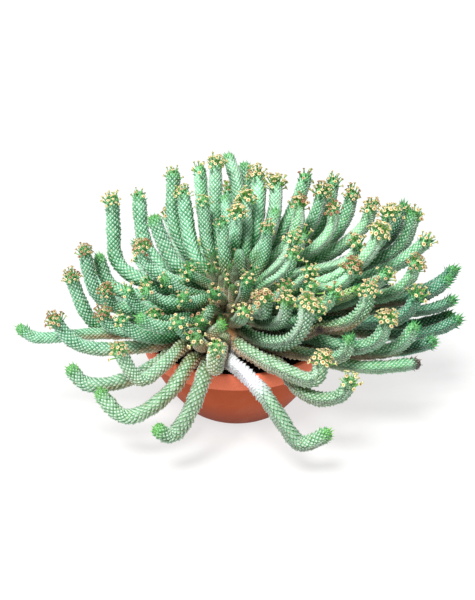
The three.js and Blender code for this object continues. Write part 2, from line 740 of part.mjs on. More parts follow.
// An arm: rings of corners, each turned half a corner against the last, so that every corner
// is a tubercle and the flats between are the grooves, then the crown of its tip.
function armGeometry(line, radii, tip, out) {
  const frames = framesAlong(line, out);
  const last = line.length - 1;
  const loops = line.map((middle, ring) => {
    const turn = (Math.PI * (ring % 2)) / arm.sides;
    return loopOf(middle, frames[ring], { turn, reach: radii[ring], forward: 0 });
  });
  const turn = (Math.PI * (last % 2)) / arm.sides;
  tips[tip].forEach((form) => loops.push(loopOf(line[last], frames[last], { turn, ...form })));
  const points = [];
  loops.flat().forEach((spot) => {
    spot.index = points.length;
    points.push(spot.corner);
  });
  const faces = [];
  for (let k = 1; k + 1 < arm.sides; k += 1) faces.push(0, k + 1, k);
  for (let ring = 0; ring + 1 < loops.length; ring += 1) bridge(loops[ring], loops[ring + 1], faces);
  const crown = loops[loops.length - 1];
  const beyond = tips[tip].length ? arm.crownLength : arm.tipLength;
  points.push(line[last].clone().addScaledVector(frames[last].ahead, beyond));
  crown.forEach((spot, k) => faces.push(spot.index, crown[(k + 1) % crown.length].index, points.length - 1));
  const geometry = new THREE.BufferGeometry().setFromPoints(points);
  geometry.setIndex(faces);
  return geometry;
}

// The crown's length is left off the way, and the root ends just off the caudex or in it.
function armSolid(one) {
  const way = evenly(one.line, Math.round(lengthOf(one.line) / arm.finerStep));
  const kept = way.slice(0, way.length - Math.round(arm.headLength / arm.finerStep));
  const rings = Math.max(arm.fewestRings, Math.round(lengthOf(kept) / arm.tuberclePitch));
  const spots = evenly(kept, rings);
  const radii = spots.map((spot, i) => {
    const at = Math.min(one.radii.length - 1, Math.round((i * (one.radii.length - 1)) / rings));
    return one.radii[at] * (i === rings ? arm.tipNarrowing : 1);
  });
  const out = outOfCaudex(spots[0]);
  const offCaudex = one.fork > 0 ? arm.forkStart : arm.rootGap;
  spots[0].addScaledVector(out, one.node === 'caudex' ? -arm.rootSunk : offCaudex);
  return toSolid(armGeometry(spots, radii, one.tip, out));
}

const arms = layOutArms();
thinWherePressed(settle(arms));

const plant = new THREE.Group();
const nodes = new Map([['caudex', toSolid(caudexBody())]]);
arms.forEach((one) => {
  const body = armSolid(one);
  nodes.set(one.node, nodes.has(one.node) ? nodes.get(one.node).add(body) : body);
});
for (const [name, body] of nodes) {
  const colour = name === 'caudex' ? colours.caudex : colours.arm;
  plant.add(named(name, toGeometry(body), name === 'arm_front_01' ? colours.whiteArm : colour));
}

const potted = new THREE.Group();
potted.add(buildPot(), buildSoil(), plant);

export default potted;
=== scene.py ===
# Potted medusa-head euphorbia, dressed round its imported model. Metres, +Z up, -Y is the front.

import math
import random

import bmesh
import bpy
import numpy as np
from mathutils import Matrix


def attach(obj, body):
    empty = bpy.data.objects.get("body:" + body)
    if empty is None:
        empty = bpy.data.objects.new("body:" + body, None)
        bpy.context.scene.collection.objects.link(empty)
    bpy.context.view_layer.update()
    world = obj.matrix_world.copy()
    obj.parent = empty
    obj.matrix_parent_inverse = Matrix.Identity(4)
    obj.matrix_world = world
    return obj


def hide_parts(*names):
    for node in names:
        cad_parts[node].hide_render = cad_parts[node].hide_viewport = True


mm = 0.001
anySpin = (0, 6.3)  # radians
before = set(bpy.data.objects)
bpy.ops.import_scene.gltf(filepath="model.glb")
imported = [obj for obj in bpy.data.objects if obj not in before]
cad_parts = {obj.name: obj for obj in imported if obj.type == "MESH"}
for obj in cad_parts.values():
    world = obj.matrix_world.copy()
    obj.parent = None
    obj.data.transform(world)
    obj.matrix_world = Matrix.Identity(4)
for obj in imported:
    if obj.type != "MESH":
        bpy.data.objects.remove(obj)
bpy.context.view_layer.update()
print("frame loaded,", len(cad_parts), "nodes")


def linear(hexColour):  # an sRGB hex colour as linear red, green, blue
    values = [int(hexColour[i:i + 2], 16) / 255 for i in (1, 3, 5)]
    return [v / 12.92 if v <= 0.04045 else ((v + 0.055) / 1.055) ** 2.4 for v in values]


def addNode(tree, kind, settings=None, links=None):
    node = tree.nodes.new(kind)
    for name, value in (settings or {}).items():
        if isinstance(name, int) or name in node.inputs:
            node.inputs[name].default_value = value
        else:
            setattr(node, name, value)
    for name, socket in (links or {}).items():
        tree.links.new(socket, node.inputs[name])
    return node


def startMaterial(name, settings):
    material = bpy.data.materials.new(name)
    material.use_nodes = True
    tree = material.node_tree
    tree.nodes.clear()
    shader = addNode(tree, "ShaderNodeBsdfPrincipled", settings)
    addNode(tree, "ShaderNodeOutputMaterial", links={"Surface": shader.outputs["BSDF"]})
    return material, tree, shader


def blendColours(tree, share, first, second, mode="MIX"):  # first and second are colours or sockets
    settings = {"data_type": "RGBA", "blend_type": mode}
    links = {}
    for slot, value in ((0, share), (6, first), (7, second)):
        if isinstance(value, bpy.types.NodeSocket):
            links[slot] = value
        else:
            settings[slot] = value if slot == 0 else (*value, 1)
    return addNode(tree, "ShaderNodeMix", settings, links).outputs[2]


def remap(tree, value, low, high, newLow, newHigh):
    settings = {"From Min": low, "From Max": high, "To Min": newLow, "To Max": newHigh}
    return addNode(tree, "ShaderNodeMapRange", settings, {"Value": value}).outputs["Result"]


def combine(tree, operation, first, second):
    settings = {"operation": operation}
    return addNode(tree, "ShaderNodeMath", settings, {0: first, 1: second}).outputs["Value"]


def objectPlace(tree):
    return addNode(tree, "ShaderNodeTexCoord").outputs["Object"]


def attribute(tree, name):
    return addNode(tree, "ShaderNodeAttribute", {"attribute_name": name}).outputs


def noise(tree, place, scale, detail):
    settings = {"Scale": scale, "Detail": detail}
    return addNode(tree, "ShaderNodeTexNoise", settings, {"Vector": place}).outputs["Fac"]


def speckle(tree, colour, grain, darkest, lightest):  # darker and lighter with the grain
    shade = remap(tree, grain, 0.3, 0.7, darkest, lightest)
    grey = addNode(tree, "ShaderNodeCombineColor", links={0: shade, 1: shade, 2: shade}).outputs["Color"]
    return blendColours(tree, 1.0, colour, grey, "MULTIPLY")


def finishSurface(tree, shader, colour, height, bump, depth):  # bump is a share, depth is in mm
    tree.links.new(colour, shader.inputs["Base Color"])
    settings = {"Strength": bump, "Distance": depth * mm}
    relief = addNode(tree, "ShaderNodeBump", settings, {"Height": height})
    tree.links.new(relief.outputs["Normal"], shader.inputs["Normal"])


def deselectAll():
    if bpy.context.object and bpy.context.object.mode != "OBJECT":
        bpy.ops.object.mode_set(mode="OBJECT")
    bpy.ops.object.select_all(action="DESELECT")


def editOnly(piece):
    deselectAll()
    piece.select_set(True)
    bpy.context.view_layer.objects.active = piece
    bpy.ops.object.mode_set(mode="EDIT")
    bpy.ops.mesh.select_mode(type="VERT")
    bpy.ops.mesh.select_all(action="DESELECT")


def selectPoints(piece, test):
    net = bmesh.from_edit_mesh(piece.data)
    bpy.ops.mesh.select_all(action="DESELECT")
    for point in net.verts:
        point.select_set(bool(test(point.co)))
    net.select_flush(True)
    bmesh.update_edit_mesh(piece.data)


def selectUprightEdges(piece):
    bpy.ops.mesh.select_mode(type="EDGE")
    bpy.ops.mesh.select_all(action="DESELECT")
    net = bmesh.from_edit_mesh(piece.data)
    for edge in net.edges:
        first, second = edge.verts
        edge.select_set(abs(first.co.z - second.co.z) > 1e-6)
    bmesh.update_edit_mesh(piece.data)


def takeMesh(piece):  # the points and triangles of a modelled shape, which is then put away
    bpy.ops.mesh.select_all(action="SELECT")
    bpy.ops.mesh.quads_convert_to_tris()
    bpy.ops.mesh.normals_make_consistent(inside=False)
    bpy.ops.object.mode_set(mode="OBJECT")
    bpy.ops.object.transform_apply(location=True, rotation=True, scale=True)
    mesh = piece.data
    points = np.zeros(3 * len(mesh.vertices))
    mesh.vertices.foreach_get("co", points)
    faces = np.zeros(3 * len(mesh.polygons), np.int32)
    mesh.polygons.foreach_get("vertices", faces)
    bpy.data.objects.remove(piece)
    return points.reshape(-1, 3), faces.reshape(-1, 3)


def finishPiece(piece, name, materials):
    piece.name = name
    piece.data.name = name
    for material in materials:
        piece.data.materials.append(material)
    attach(piece, "root")


def joinedPiece(name, parts, materials):
    # parts are (points, faces, material number, colours with alpha, raised), each with its own mesh
    points, faces, numbers, colours, raised = zip(*parts)
    starts = np.cumsum([0] + [len(group) for group in points[:-1]])
    numbers = np.concatenate([np.full(len(group), number) for group, number in zip(faces, numbers)])
    faces = np.concatenate([group + start for group, start in zip(faces, starts)])
    points = np.concatenate(points) * mm
    colours = np.concatenate(colours).astype(np.float32)
    raised = np.concatenate(raised).astype(np.float32)
    mesh = bpy.data.meshes.new(name)
    mesh.vertices.add(len(points))
    mesh.vertices.foreach_set("co", points.ravel())
    mesh.loops.add(3 * len(faces))
    mesh.loops.foreach_set("vertex_index", faces.ravel().astype(np.int32))
    mesh.polygons.add(len(faces))
    mesh.polygons.foreach_set("loop_start", np.arange(0, 3 * len(faces), 3, dtype=np.int32))
    mesh.polygons.foreach_set("material_index", numbers.astype(np.int32))
    mesh.polygons.foreach_set("use_smooth", np.ones(len(faces), bool))
    mesh.update(calc_edges=True)
    ends = np.zeros(2 * len(mesh.edges), np.int32)
    mesh.edges.foreach_get("vertices", ends)
    furrows = raised[ends].reshape(-1, 2).max(axis=1) < 0.5
    for layer, kind, domain, field, values in (
            ("tint", "FLOAT_COLOR", "POINT", "color", colours.ravel()),
            ("raised", "FLOAT", "POINT", "value", raised),
            ("sharp_edge", "BOOLEAN", "EDGE", "value", furrows)):
        mesh.attributes.new(layer, kind, domain).data.foreach_set(field, values)
    piece = bpy.data.objects.new(name, mesh)
    bpy.context.scene.collection.objects.link(piece)
    finishPiece(piece, name, materials)
    return piece


def turnedPiece(rings, sides, top):
    # a turned solid: a filled circle, extruded up and resized ring by ring, as on a wheel
    deselectAll()
    radius, height = rings[0]
    bpy.ops.mesh.primitive_circle_add(
        vertices=sides, radius=radius * mm, fill_type="NGON", location=(0, 0, height * mm))
    piece = bpy.context.object
    bpy.ops.object.transform_apply(location=True)
    bpy.ops.object.mode_set(mode="EDIT")
    bpy.ops.mesh.select_mode(type="FACE")
    for radiusNow, heightNow in rings[1:]:
        bpy.ops.mesh.extrude_region_move(
            TRANSFORM_OT_translate={"value": (0, 0, (heightNow - height) * mm)})
        share = radiusNow / radius
        bpy.ops.transform.resize(value=(share, share, 1))
        radius, height = radiusNow, heightNow
    if top == "point":
        bpy.ops.mesh.poke()
    bpy.ops.mesh.select_all(action="SELECT")
    bpy.ops.mesh.normals_make_consistent(inside=False)
    bpy.ops.object.mode_set(mode="OBJECT")
    return piece


def displace(piece, size, strength):
    grain = bpy.data.textures.new("lumps", "CLOUDS")
    grain.noise_scale = size * mm
    grain.noise_depth = 2
    roughen = piece.modifiers.new("lumps", "DISPLACE")
    roughen.texture = grain
    roughen.texture_coords = "LOCAL"
    roughen.strength = strength * mm
    roughen.mid_level = 0.5
    bpy.context.view_layer.objects.active = piece
    bpy.ops.object.modifier_apply(modifier=roughen.name)


# Camera and light: plain pale paper, one broad soft light, and the view that the photograph has.

studio = {
    "viewDistance": 1500, "lookDown": 26, "target": (1.2, 0, 168), "lens": 60.36,
    "paper": "#848483", "paperSize": 40000, "air": "#FFFFFF", "airStrength": 0.4,
    "paperGlow": 0.7, "sun": 4.0, "sunHigh": 60, "sunLeft": 30, "sunWide": 20,
}


def buildStudio():
    down = math.radians(studio["lookDown"])
    x, y, z = studio["target"]
    away = studio["viewDistance"]
    place = (x * mm, (y - away * math.cos(down)) * mm, (z + away * math.sin(down)) * mm)
    bpy.ops.object.camera_add(location=place, rotation=(math.pi / 2 - down, 0, 0))
    camera = bpy.context.object
    camera.data.lens = studio["lens"]
    camera.data.sensor_width = 36
    bpy.context.scene.camera = camera
    tilt = math.radians(90 - studio["sunHigh"])
    bpy.ops.object.light_add(
        type="SUN", location=(-1, -2, 3), rotation=(tilt, 0, -math.radians(studio["sunLeft"])))
    sun = bpy.context.object
    sun.data.energy = studio["sun"]
    sun.data.angle = math.radians(studio["sunWide"])
    world = bpy.data.worlds.new("air")
    bpy.context.scene.world = world
    world.use_nodes = True
    background = world.node_tree.nodes["Background"]
    background.inputs["Color"].default_value = (*linear(studio["air"]), 1)
    background.inputs["Strength"].default_value = studio["airStrength"]
    bpy.context.scene.view_settings.view_transform = "Standard"
    deselectAll()
    bpy.ops.mesh.primitive_plane_add(size=studio["paperSize"] * mm, location=(0, 0, 0))
    paper = bpy.context.object
    paper.name = "paper"
    paper.data.materials.append(startMaterial("mattStudioPaper", {
        "Roughness": 0.9, "Base Color": (*linear(studio["paper"]), 1), "Emission Color": (1, 1, 1, 1),
        "Emission Strength": studio["paperGlow"]})[0])
    print("studio: camera, soft sun and paper")


buildStudio()


# The ways of the arms, in millimetres, as in the solids: the same corners and the same settling.

pot = {
    "rimRadius": 140, "height": 118, "bandHeight": 24, "bandStep": 4, "baseRadius": 79, "bulge": 6,
    "wall": 8, "floor": 9, "drainHoles": 3, "drainRadius": 5, "drainReach": 42, "drillSides": 24,
    "drillLength": 30, "sides": 144, "outerRings": 24, "innerRings": 16, "sharpAbove": 35,
    "foot": [(-2, 0), (0, 1.6)], "bandEdge": [(-0.8, 0.5), (0, 2)],
    "lipOutside": [(0, -3), (-0.9, -1), (-3, 0)], "lipInside": [(2.5, 0), (0.7, -0.8), (0, -3)],
}
soil = {
    "top": 105, "crumbs": 1500, "crumbSizes": [1.2, 1.6, 2.2, 3.2, 4.4], "sizeSpread": (0.8, 1.2),
    "inner": 0.12, "wallClear": 0.6, "outermost": 3, "sunk": 1, "lift": 0.3, "crumbWidths": (0.7, 1.3),
    "crumbHeights": (0.5, 0.9), "crumbUpright": 1.5,
}
caudex = {
    "middle": np.array([-12.0, 0.0, 125.0]), "radius": 56, "rise": 50, "rootBottom": 40,
    "rootRadius": 14, "lowestTurn": -0.28, "sides": 72, "rings": 33, "lumpSize": 12, "lumpHeight": 2.4,
}
arm = {
    "rootRadius": 6.6, "forkNarrowing": 0.6, "thickenBy": 62, "straightStart": 20, "step": 8,
    "finerStep": 2, "cornerCuts": 3, "headLength": 9, "forkStart": 12, "forkReach": 48,
}
rooting = {"rounds": 400, "between": 2, "aboveSoil": 1.5, "share": 0.3}
settling = {
    "rounds": 140, "clear": 2.4, "pressedClear": 1, "nearby": 45, "share": 0.5, "strongest": 3,
    "heldRoot": 12, "headRadius": 15, "headReach": 11, "floorClear": 3, "potClear": 1.2,
    "caudexClear": 1.5, "liftedBelow": 24,
}

# The nodes of each side in order, from arm_front_01 on, and in each node its arms, as [half thickness,
# tip, corners of its way: right, back, up].
frontArms = [
    [[12, "leaves", [-14, -108, 125], [2, -140, 131], [32, -182, 124], [66, -208, 80], [86, -212, 48],
      [128, -218, 80]]],
    [[12, "leaves", [-35, -136, 131], [-45, -172, 122], [-62, -196, 92], [-88, -212, 60],
      [-110, -218, 88]]],
    [[11.5, "flowers", [-36, -125, 135], [-35, -182, 138], [-28, -195, 198]]],
    [[11.5, "leaves", [-66, -122, 130], [-92, -172, 106], [-155, -178, 64], [-190, -168, 118]]],
    [[11.5, "leaves", [-76, -92, 126], [-122, -140, 121], [-176, -150, 108], [-214, -146, 106],
      [-233, -140, 137]],
     [10.5, "flowers", [-66, -110, 145], [-100, -155, 138], [-132, -172, 122], [-160, -172, 184]]],
    [[10, "both", [-54, -90, 140], [-66, -150, 192]],
     [10, "leaves", [-42, -84, 146], [-34, -108, 160], [-16, -120, 189]]],
    [[10.5, "flowers", [0, -80, 170], [5, -140, 217]]],
    [[10, "few", [-35, -60, 190], [-45, -95, 176], [-46, -115, 193]]],
    [[10.5, "flowers", [20, -60, 190], [45, -110, 195], [42, -125, 236]],
     [9.5, "flowers", [35, -50, 182], [70, -80, 205], [70, -85, 234]]],
    [[10, "flowers", [40, -70, 165], [70, -130, 198], [70, -140, 239]]],
    [[12, "flowers", [12, -80, 145], [66, -132, 160], [90, -150, 205], [84, -152, 247]]],
    [[12, "flowers", [-8, -100, 146], [22, -124, 136], [70, -150, 120], [108, -172, 116], [114, -175, 168]],
     [11, "both", [26, -98, 122], [60, -144, 126], [98, -178, 104], [145, -184, 112], [154, -185, 148]]],
]
leftArms = [
    [[9.5, "leaves", [-70, -25, 142], [-130, -36, 142], [-230, -50, 140], [-295, -55, 130],
      [-319, -55, 155]]],
    [[11, "flowers", [-60, -42, 142], [-112, -70, 138], [-228, -86, 128], [-260, -85, 186]]],
    [[11, "flowers", [-45, -20, 160], [-130, -30, 142], [-215, -35, 130], [-240, -35, 230]]],
    [[11, "flowers", [-86, -5, 160], [-145, 5, 145], [-215, 15, 160], [-225, 20, 248]],
     [11, "leaves", [-80, 8, 174], [-130, 20, 164], [-195, 40, 170], [-206, 45, 228]]],
    [[10, "flowers", [-45, -30, 155], [-125, -60, 142], [-180, -70, 150], [-193, -75, 189]],
     [10, "both", [-50, -40, 142], [-102, -85, 146], [-150, -102, 165], [-164, -105, 196]]],
    [[10, "leaves", [-50, -60, 158], [-105, -115, 175], [-138, -128, 208]],
     [9.5, "few", [-50, -60, 142], [-70, -115, 155], [-79, -138, 196]]],
    [[10.5, "flowers", [-45, -15, 165], [-135, -30, 160], [-185, -40, 175], [-186, -45, 212]],
     [10, "flowers", [-45, -25, 165], [-125, -50, 165], [-150, -60, 195], [-150, -65, 220]]],
    [[12, "flowers", [-40, 10, 180], [-115, 30, 170], [-190, 55, 194], [-188, 70, 260], [-187, 70, 310]]],
    [[12, "both", [-35, 30, 185], [-115, 60, 190], [-147, 85, 230], [-149, 100, 306]],
     [12, "leaves", [-35, 10, 190], [-82, 25, 212], [-104, 35, 240], [-124, 40, 290]]],
    [[10.5, "flowers", [-35, -10, 185], [-100, -15, 200], [-135, -20, 225], [-138, -20, 265]],
     [9.5, "flowers", [-40, -5, 178], [-100, -10, 180], [-129, -20, 205]]],
    [[12, "both", [-35, 40, 195], [-84, 75, 225], [-99, 105, 270], [-96, 120, 334]]],
    [[12, "flowers", [-35, 25, 200], [-54, 55, 225], [-67, 80, 265], [-75, 90, 314]],
     [10.5, "both", [-30, 30, 202], [-50, 60, 230], [-55, 80, 298]]],
    [[10, "flowers", [-45, -35, 165], [-90, -75, 165], [-114, -95, 194]],
     [9.5, "flowers", [-45, -40, 175], [-110, -75, 190], [-130, -88, 222]]],
    [[10, "flowers", [-40, -30, 180], [-75, -75, 190], [-82, -90, 215]],
     [9.5, "flowers", [-40, -15, 176], [-80, -40, 190], [-106, -55, 225]]],
]
backArms = [
    [[11, "few", [-25, 60, 195], [-40, 90, 240], [-50, 135, 285], [-52, 150, 332]],
     [11, "flowers", [-15, 50, 200], [-28, 80, 240], [-35, 120, 280], [-37, 140, 342]]],
    [[11, "leaves", [-5, 60, 200], [13, 90, 235], [10, 140, 285], [-12, 175, 341]],
     [9, "leaves", [-10, 50, 195], [-15, 75, 240], [-18, 100, 297]]],
    [[11, "leaves", [5, 70, 190], [20, 110, 225], [15, 165, 280], [10, 185, 325]],
     [10.5, "flowers", [0, 95, 176], [-8, 160, 214], [-12, 205, 276]]],
    [[10.5, "flowers", [0, 45, 195], [5, 75, 235], [5, 100, 297]],
     [10, "flowers", [-5, 25, 200], [0, 40, 230], [2, 50, 290]]],
    [[12.5, "flowers", [10, 55, 195], [27, 85, 230], [36, 130, 280], [32, 150, 320]],
     [10.5, "leaves", [24, 80, 176], [52, 150, 208], [64, 195, 262]]],
    [[11, "flowers", [15, 50, 195], [40, 80, 225], [55, 115, 265], [56, 130, 312]],
     [9.5, "leaves", [25, 40, 195], [55, 55, 235], [63, 60, 287]]],
    [[11, "leaves", [45, 45, 135], [112, 92, 138], [185, 148, 132], [208, 165, 168]],
     [10.5, "flowers", [50, 60, 150], [105, 125, 176], [155, 180, 202]]],
    [[11, "flowers", [22, 60, 135], [70, 130, 138], [115, 205, 122], [128, 226, 160]],
     [10.5, "both", [30, 70, 150], [60, 145, 180], [82, 205, 212]]],
    [[11, "leaves", [0, 65, 135], [18, 145, 138], [30, 232, 116], [34, 256, 150]],
     [10.5, "flowers", [0, 75, 152], [10, 150, 190], [14, 205, 252]]],
    [[11, "flowers", [-25, 65, 135], [-40, 145, 138], [-52, 228, 120], [-56, 250, 158]],
     [10.5, "leaves", [-30, 75, 152], [-45, 150, 190], [-52, 200, 250]]],
    [[11, "both", [-48, 58, 135], [-95, 120, 138], [-150, 186, 122], [-168, 204, 158]],
     [10.5, "flowers", [-50, 65, 152], [-90, 125, 188], [-112, 168, 245]]],
    [[11, "flowers", [-62, 35, 135], [-130, 66, 138], [-212, 106, 128], [-235, 118, 168]],
     [10.5, "leaves", [-62, 45, 152], [-125, 95, 178], [-165, 135, 208]]],
]
rightArms = [
    [[11.5, "both", [28, 60, 195], [53, 90, 223], [92, 140, 260], [110, 150, 318]],
     [11.5, "both", [40, 60, 182], [100, 95, 205], [145, 140, 245], [152, 150, 311]]],
    [[10.5, "flowers", [30, 25, 192], [75, 45, 212], [95, 60, 255], [93, 60, 302]],
     [10, "flowers", [45, 30, 185], [115, 50, 220], [145, 60, 255], [146, 60, 296]],
     [9, "few", [40, 15, 195], [90, 30, 225], [99, 30, 265]]],
    [[11, "flowers", [30, 45, 195], [91, 75, 217], [125, 105, 269], [132, 110, 308]],
     [11.5, "flowers", [50, 55, 175], [120, 85, 205], [170, 115, 245], [179, 120, 301]]],
    [[10, "both", [30, 0, 200], [70, 0, 230], [81, 0, 274]],
     [9.5, "flowers", [35, -20, 195], [75, -45, 230], [85, -50, 267]]],
    [[11, "flowers", [60, 40, 180], [142, 70, 208], [198, 85, 248], [206, 85, 290]]],
    [[11.5, "flowers", [65, 20, 185], [165, 30, 205], [215, 40, 240], [228, 40, 297]],
     [11, "flowers", [70, 0, 185], [160, 0, 215], [195, -5, 250], [203, -5, 290]]],
    [[11.5, "leaves", [65, 40, 175], [160, 70, 195], [240, 90, 225], [258, 95, 289]],
     [12, "both", [75, 30, 168], [175, 45, 195], [255, 60, 225], [266, 60, 290]]],
    [[11.5, "both", [80, 15, 160], [180, 20, 185], [246, 25, 216], [286, 25, 258]]],
    [[11, "flowers", [70, 0, 160], [170, -10, 165], [246, -20, 188], [262, -20, 243]],
     [11, "both", [65, -10, 155], [155, -30, 170], [218, -45, 234]]],
    [[11.5, "flowers", [40, -32, 126], [90, -66, 128], [155, -90, 160], [180, -100, 200], [182, -105, 242]],
     [11, "leaves", [80, -42, 122], [150, -90, 122], [230, -95, 130], [253, -95, 178]]],
    [[10, "flowers", [55, -10, 180], [135, -20, 195], [165, -20, 215], [168, -20, 243]],
     [9.5, "both", [65, 0, 190], [145, 5, 205], [175, 5, 225], [177, 5, 259]]],
    [[11, "leaves", [80, 20, 155], [185, 25, 170], [294, 25, 164], [331, 25, 209]],
     [10.5, "leaves", [80, 5, 150], [185, 5, 160], [286, 5, 161], [324, 0, 197]]],
    [[9.5, "leaves", [80, -5, 150], [160, -14, 158], [225, -8, 159], [295, -2, 158], [325, 0, 176]],
     [11, "leaves", [80, 5, 142], [155, 10, 132], [270, 10, 116], [328, 5, 149]]],
    [[11, "both", [70, -20, 145], [165, -40, 150], [245, -50, 160], [262, -50, 208]],
     [9.5, "leaves", [50, -20, 160], [135, -50, 185], [178, -60, 215]]],
    [[11.5, "flowers", [65, -60, 140], [145, -105, 136], [200, -115, 155], [208, -115, 204]],
     [10, "flowers", [40, -60, 160], [95, -100, 175], [112, -108, 215]]],
    [[10, "leaves", [80, -15, 138], [145, -25, 135], [245, -25, 120], [300, -25, 133], [331, -25, 158]],
     [10.5, "leaves", [80, -32, 126], [135, -60, 131], [235, -70, 116], [290, -75, 141]]],
    [[10.5, "bare", [50, -55, 124], [106, -110, 126], [175, -115, 117], [263, -105, 122]]],
    [[10.5, "leaves", [36, -56, 126], [90, -102, 134], [155, -125, 134], [155, -135, 181]],
     [7, "bare", [50, -70, 145], [95, -100, 155], [125, -110, 180]]],
    [[9.5, "flowers", [50, -20, 175], [90, -50, 210], [106, -60, 243]],
     [9.5, "flowers", [50, -40, 170], [120, -75, 195], [135, -85, 231]],
     [9.5, "flowers", [46, -42, 172], [100, -75, 200], [110, -85, 233]]],
]
armWays = {"front": frontArms, "left": leftArms, "back": backArms, "right": rightArms}

youngArms = [
    [8.5, "few", [-35, 0, 190], [-73, 0, 223]],
    [8, "few", [-35, -12, 188], [-79, -30, 223]],
    [9, "bare", [0, 0, 200], [0, 0, 254]],
    [9.5, "few", [-25, -50, 190], [-34, -90, 221]],
    [9.5, "both", [15, -60, 195], [18, -90, 241]],
    [10, "few", [-15, 10, 205], [-20, 15, 250], [-21, 20, 291]],
    [9.5, "flowers", [15, 10, 205], [35, 20, 230], [41, 20, 283]],
    [8, "bare", [-26, 4, 190], [-36, 2, 206]],
    [7.5, "leaves", [2, 12, 190], [6, 18, 210]],
    [7.5, "leaves", [-14, 22, 192], [-18, 34, 216]],
]


def lengths(rows):
    return np.linalg.norm(rows, axis=-1)


def onCaudex(toward):  # where a way from the caudex's middle leaves its surface
    away = toward - caudex["middle"]
    sizes = np.array([caudex["radius"], caudex["radius"], caudex["rise"]])
    return away / lengths(away / sizes)[..., None] + caudex["middle"]


def outOfCaudex(place):
    away = place - caudex["middle"]
    away = away / np.array([caudex["radius"], caudex["radius"], caudex["rise"]]) ** 2
    return away / lengths(away)[..., None]


def spreadRoots(roots):
    spacing = 2 * arm["rootRadius"] + rooting["between"]
    lowest = soil["top"] + arm["rootRadius"] + rooting["aboveSoil"]
    for turn in range(rooting["rounds"]):
        between = roots[:, None] - roots[None]
        far = lengths(between)
        np.fill_diagonal(far, spacing)
        push = np.where(far < spacing, rooting["share"] * (spacing - far) / far, 0)
        roots = roots + (between * push[..., None]).sum(axis=1)
        roots[:, 2] = np.maximum(roots[:, 2], lowest)
        roots = onCaudex(roots)
    return roots


def lengthOf(line):
    return lengths(np.diff(line, axis=0)).sum()


def evenly(line, pieces):
    walked = np.concatenate([[0], np.cumsum(lengths(np.diff(line, axis=0)))])
    targets = walked[-1] * np.arange(pieces + 1) / pieces
    return np.stack([np.interp(targets, walked, line[:, k]) for k in range(3)], axis=1)


def roundOff(value):
    return int(math.floor(value + 0.5))


def smoothWay(corners):
    line = [np.array(corner, float) for corner in corners]
    for cut in range(arm["cornerCuts"]):
        after = [line[0]]
        for i in range(len(line) - 1):
            if i > 0:
                after.append(line[i] * 0.75 + line[i + 1] * 0.25)
            if i + 2 < len(line):
                after.append(line[i] * 0.25 + line[i + 1] * 0.75)
        line = after + [line[-1]]
    line = np.array(line)
    return evenly(line, roundOff(lengthOf(line) / arm["step"]))


def thickness(halfThick, along, fork):
    start = arm["rootRadius"] * (arm["forkNarrowing"] if fork else 1)
    t = np.clip(along / arm["thickenBy"], 0, 1)
    return start + (halfThick - start) * t * t * (3 - 2 * t)


def clearOfCaudex(place, radius):
    away = place - caudex["middle"]
    wide = caudex["radius"] + radius + settling["caudexClear"]
    high = caudex["rise"] + radius + settling["caudexClear"]
    inside = np.sqrt((away[..., 0] ** 2 + away[..., 1] ** 2) / wide ** 2 + away[..., 2] ** 2 / high ** 2)
    return away * np.maximum(0, 1 / inside - 1)[..., None]


def clearOfPot(place, radius, along):
    move = np.zeros_like(place)
    reach = np.hypot(place[:, 0], place[:, 1])
    lipMiddle = pot["rimRadius"] - pot["wall"] / 2
    lipHeight = pot["height"] - pot["wall"] / 2
    need = radius + pot["wall"] / 2 + settling["potClear"]
    beside = np.abs(reach - lipMiddle)
    within = reach < lipMiddle
    overSoil = soil["top"] + radius + settling["potClear"] - place[:, 2]
    rise = np.where(within, np.maximum(0, overSoil), 0)
    rise = np.maximum(rise, radius + settling["floorClear"] - place[:, 2])
    over = lipHeight + np.sqrt(np.maximum(need ** 2 - beside ** 2, 0)) - place[:, 2]
    atLip = (beside < need) & (over > 0)
    lifted = atLip & ((over < settling["liftedBelow"]) | within)
    move[:, 2] = np.where(lifted, np.maximum(rise, over), rise)
    outward = np.where(atLip & ~lifted, (need - beside) / np.maximum(reach, 1), 0)
    move[:, :2] += place[:, :2] * outward[:, None]
    return move + clearOfCaudex(place, radius) * (along > arm["straightStart"])[:, None]


def layOutArms():
    groups = [
        ("arm_%s_%02d" % (side, number), rows)
        for side, nodes in armWays.items() for number, rows in enumerate(nodes, 1)]
    groups += [("caudex", [row]) for row in youngArms]
    first = [np.mean([row[2] for row in rows], axis=0) for node, rows in groups]
    roots = spreadRoots(onCaudex(np.array(first, float)))
    laid = []
    for group, (node, rows) in enumerate(groups):
        for fork, (halfThick, tip, *corners) in enumerate(rows):
            root = roots[group]
            way = [root, root + outOfCaudex(root) * arm["straightStart"]]
            for corner in np.array(corners, float):
                way.append(corner + clearOfCaudex(corner, halfThick))
            line = smoothWay(way)
            step = lengthOf(line) / (len(line) - 1)
            along = step * np.arange(len(line))
            laid.append({
                "node": node, "group": group, "fork": fork, "tip": tip, "halfThick": halfThick,
                "line": line, "step": step, "radii": thickness(halfThick, along, fork > 0)})
    return laid


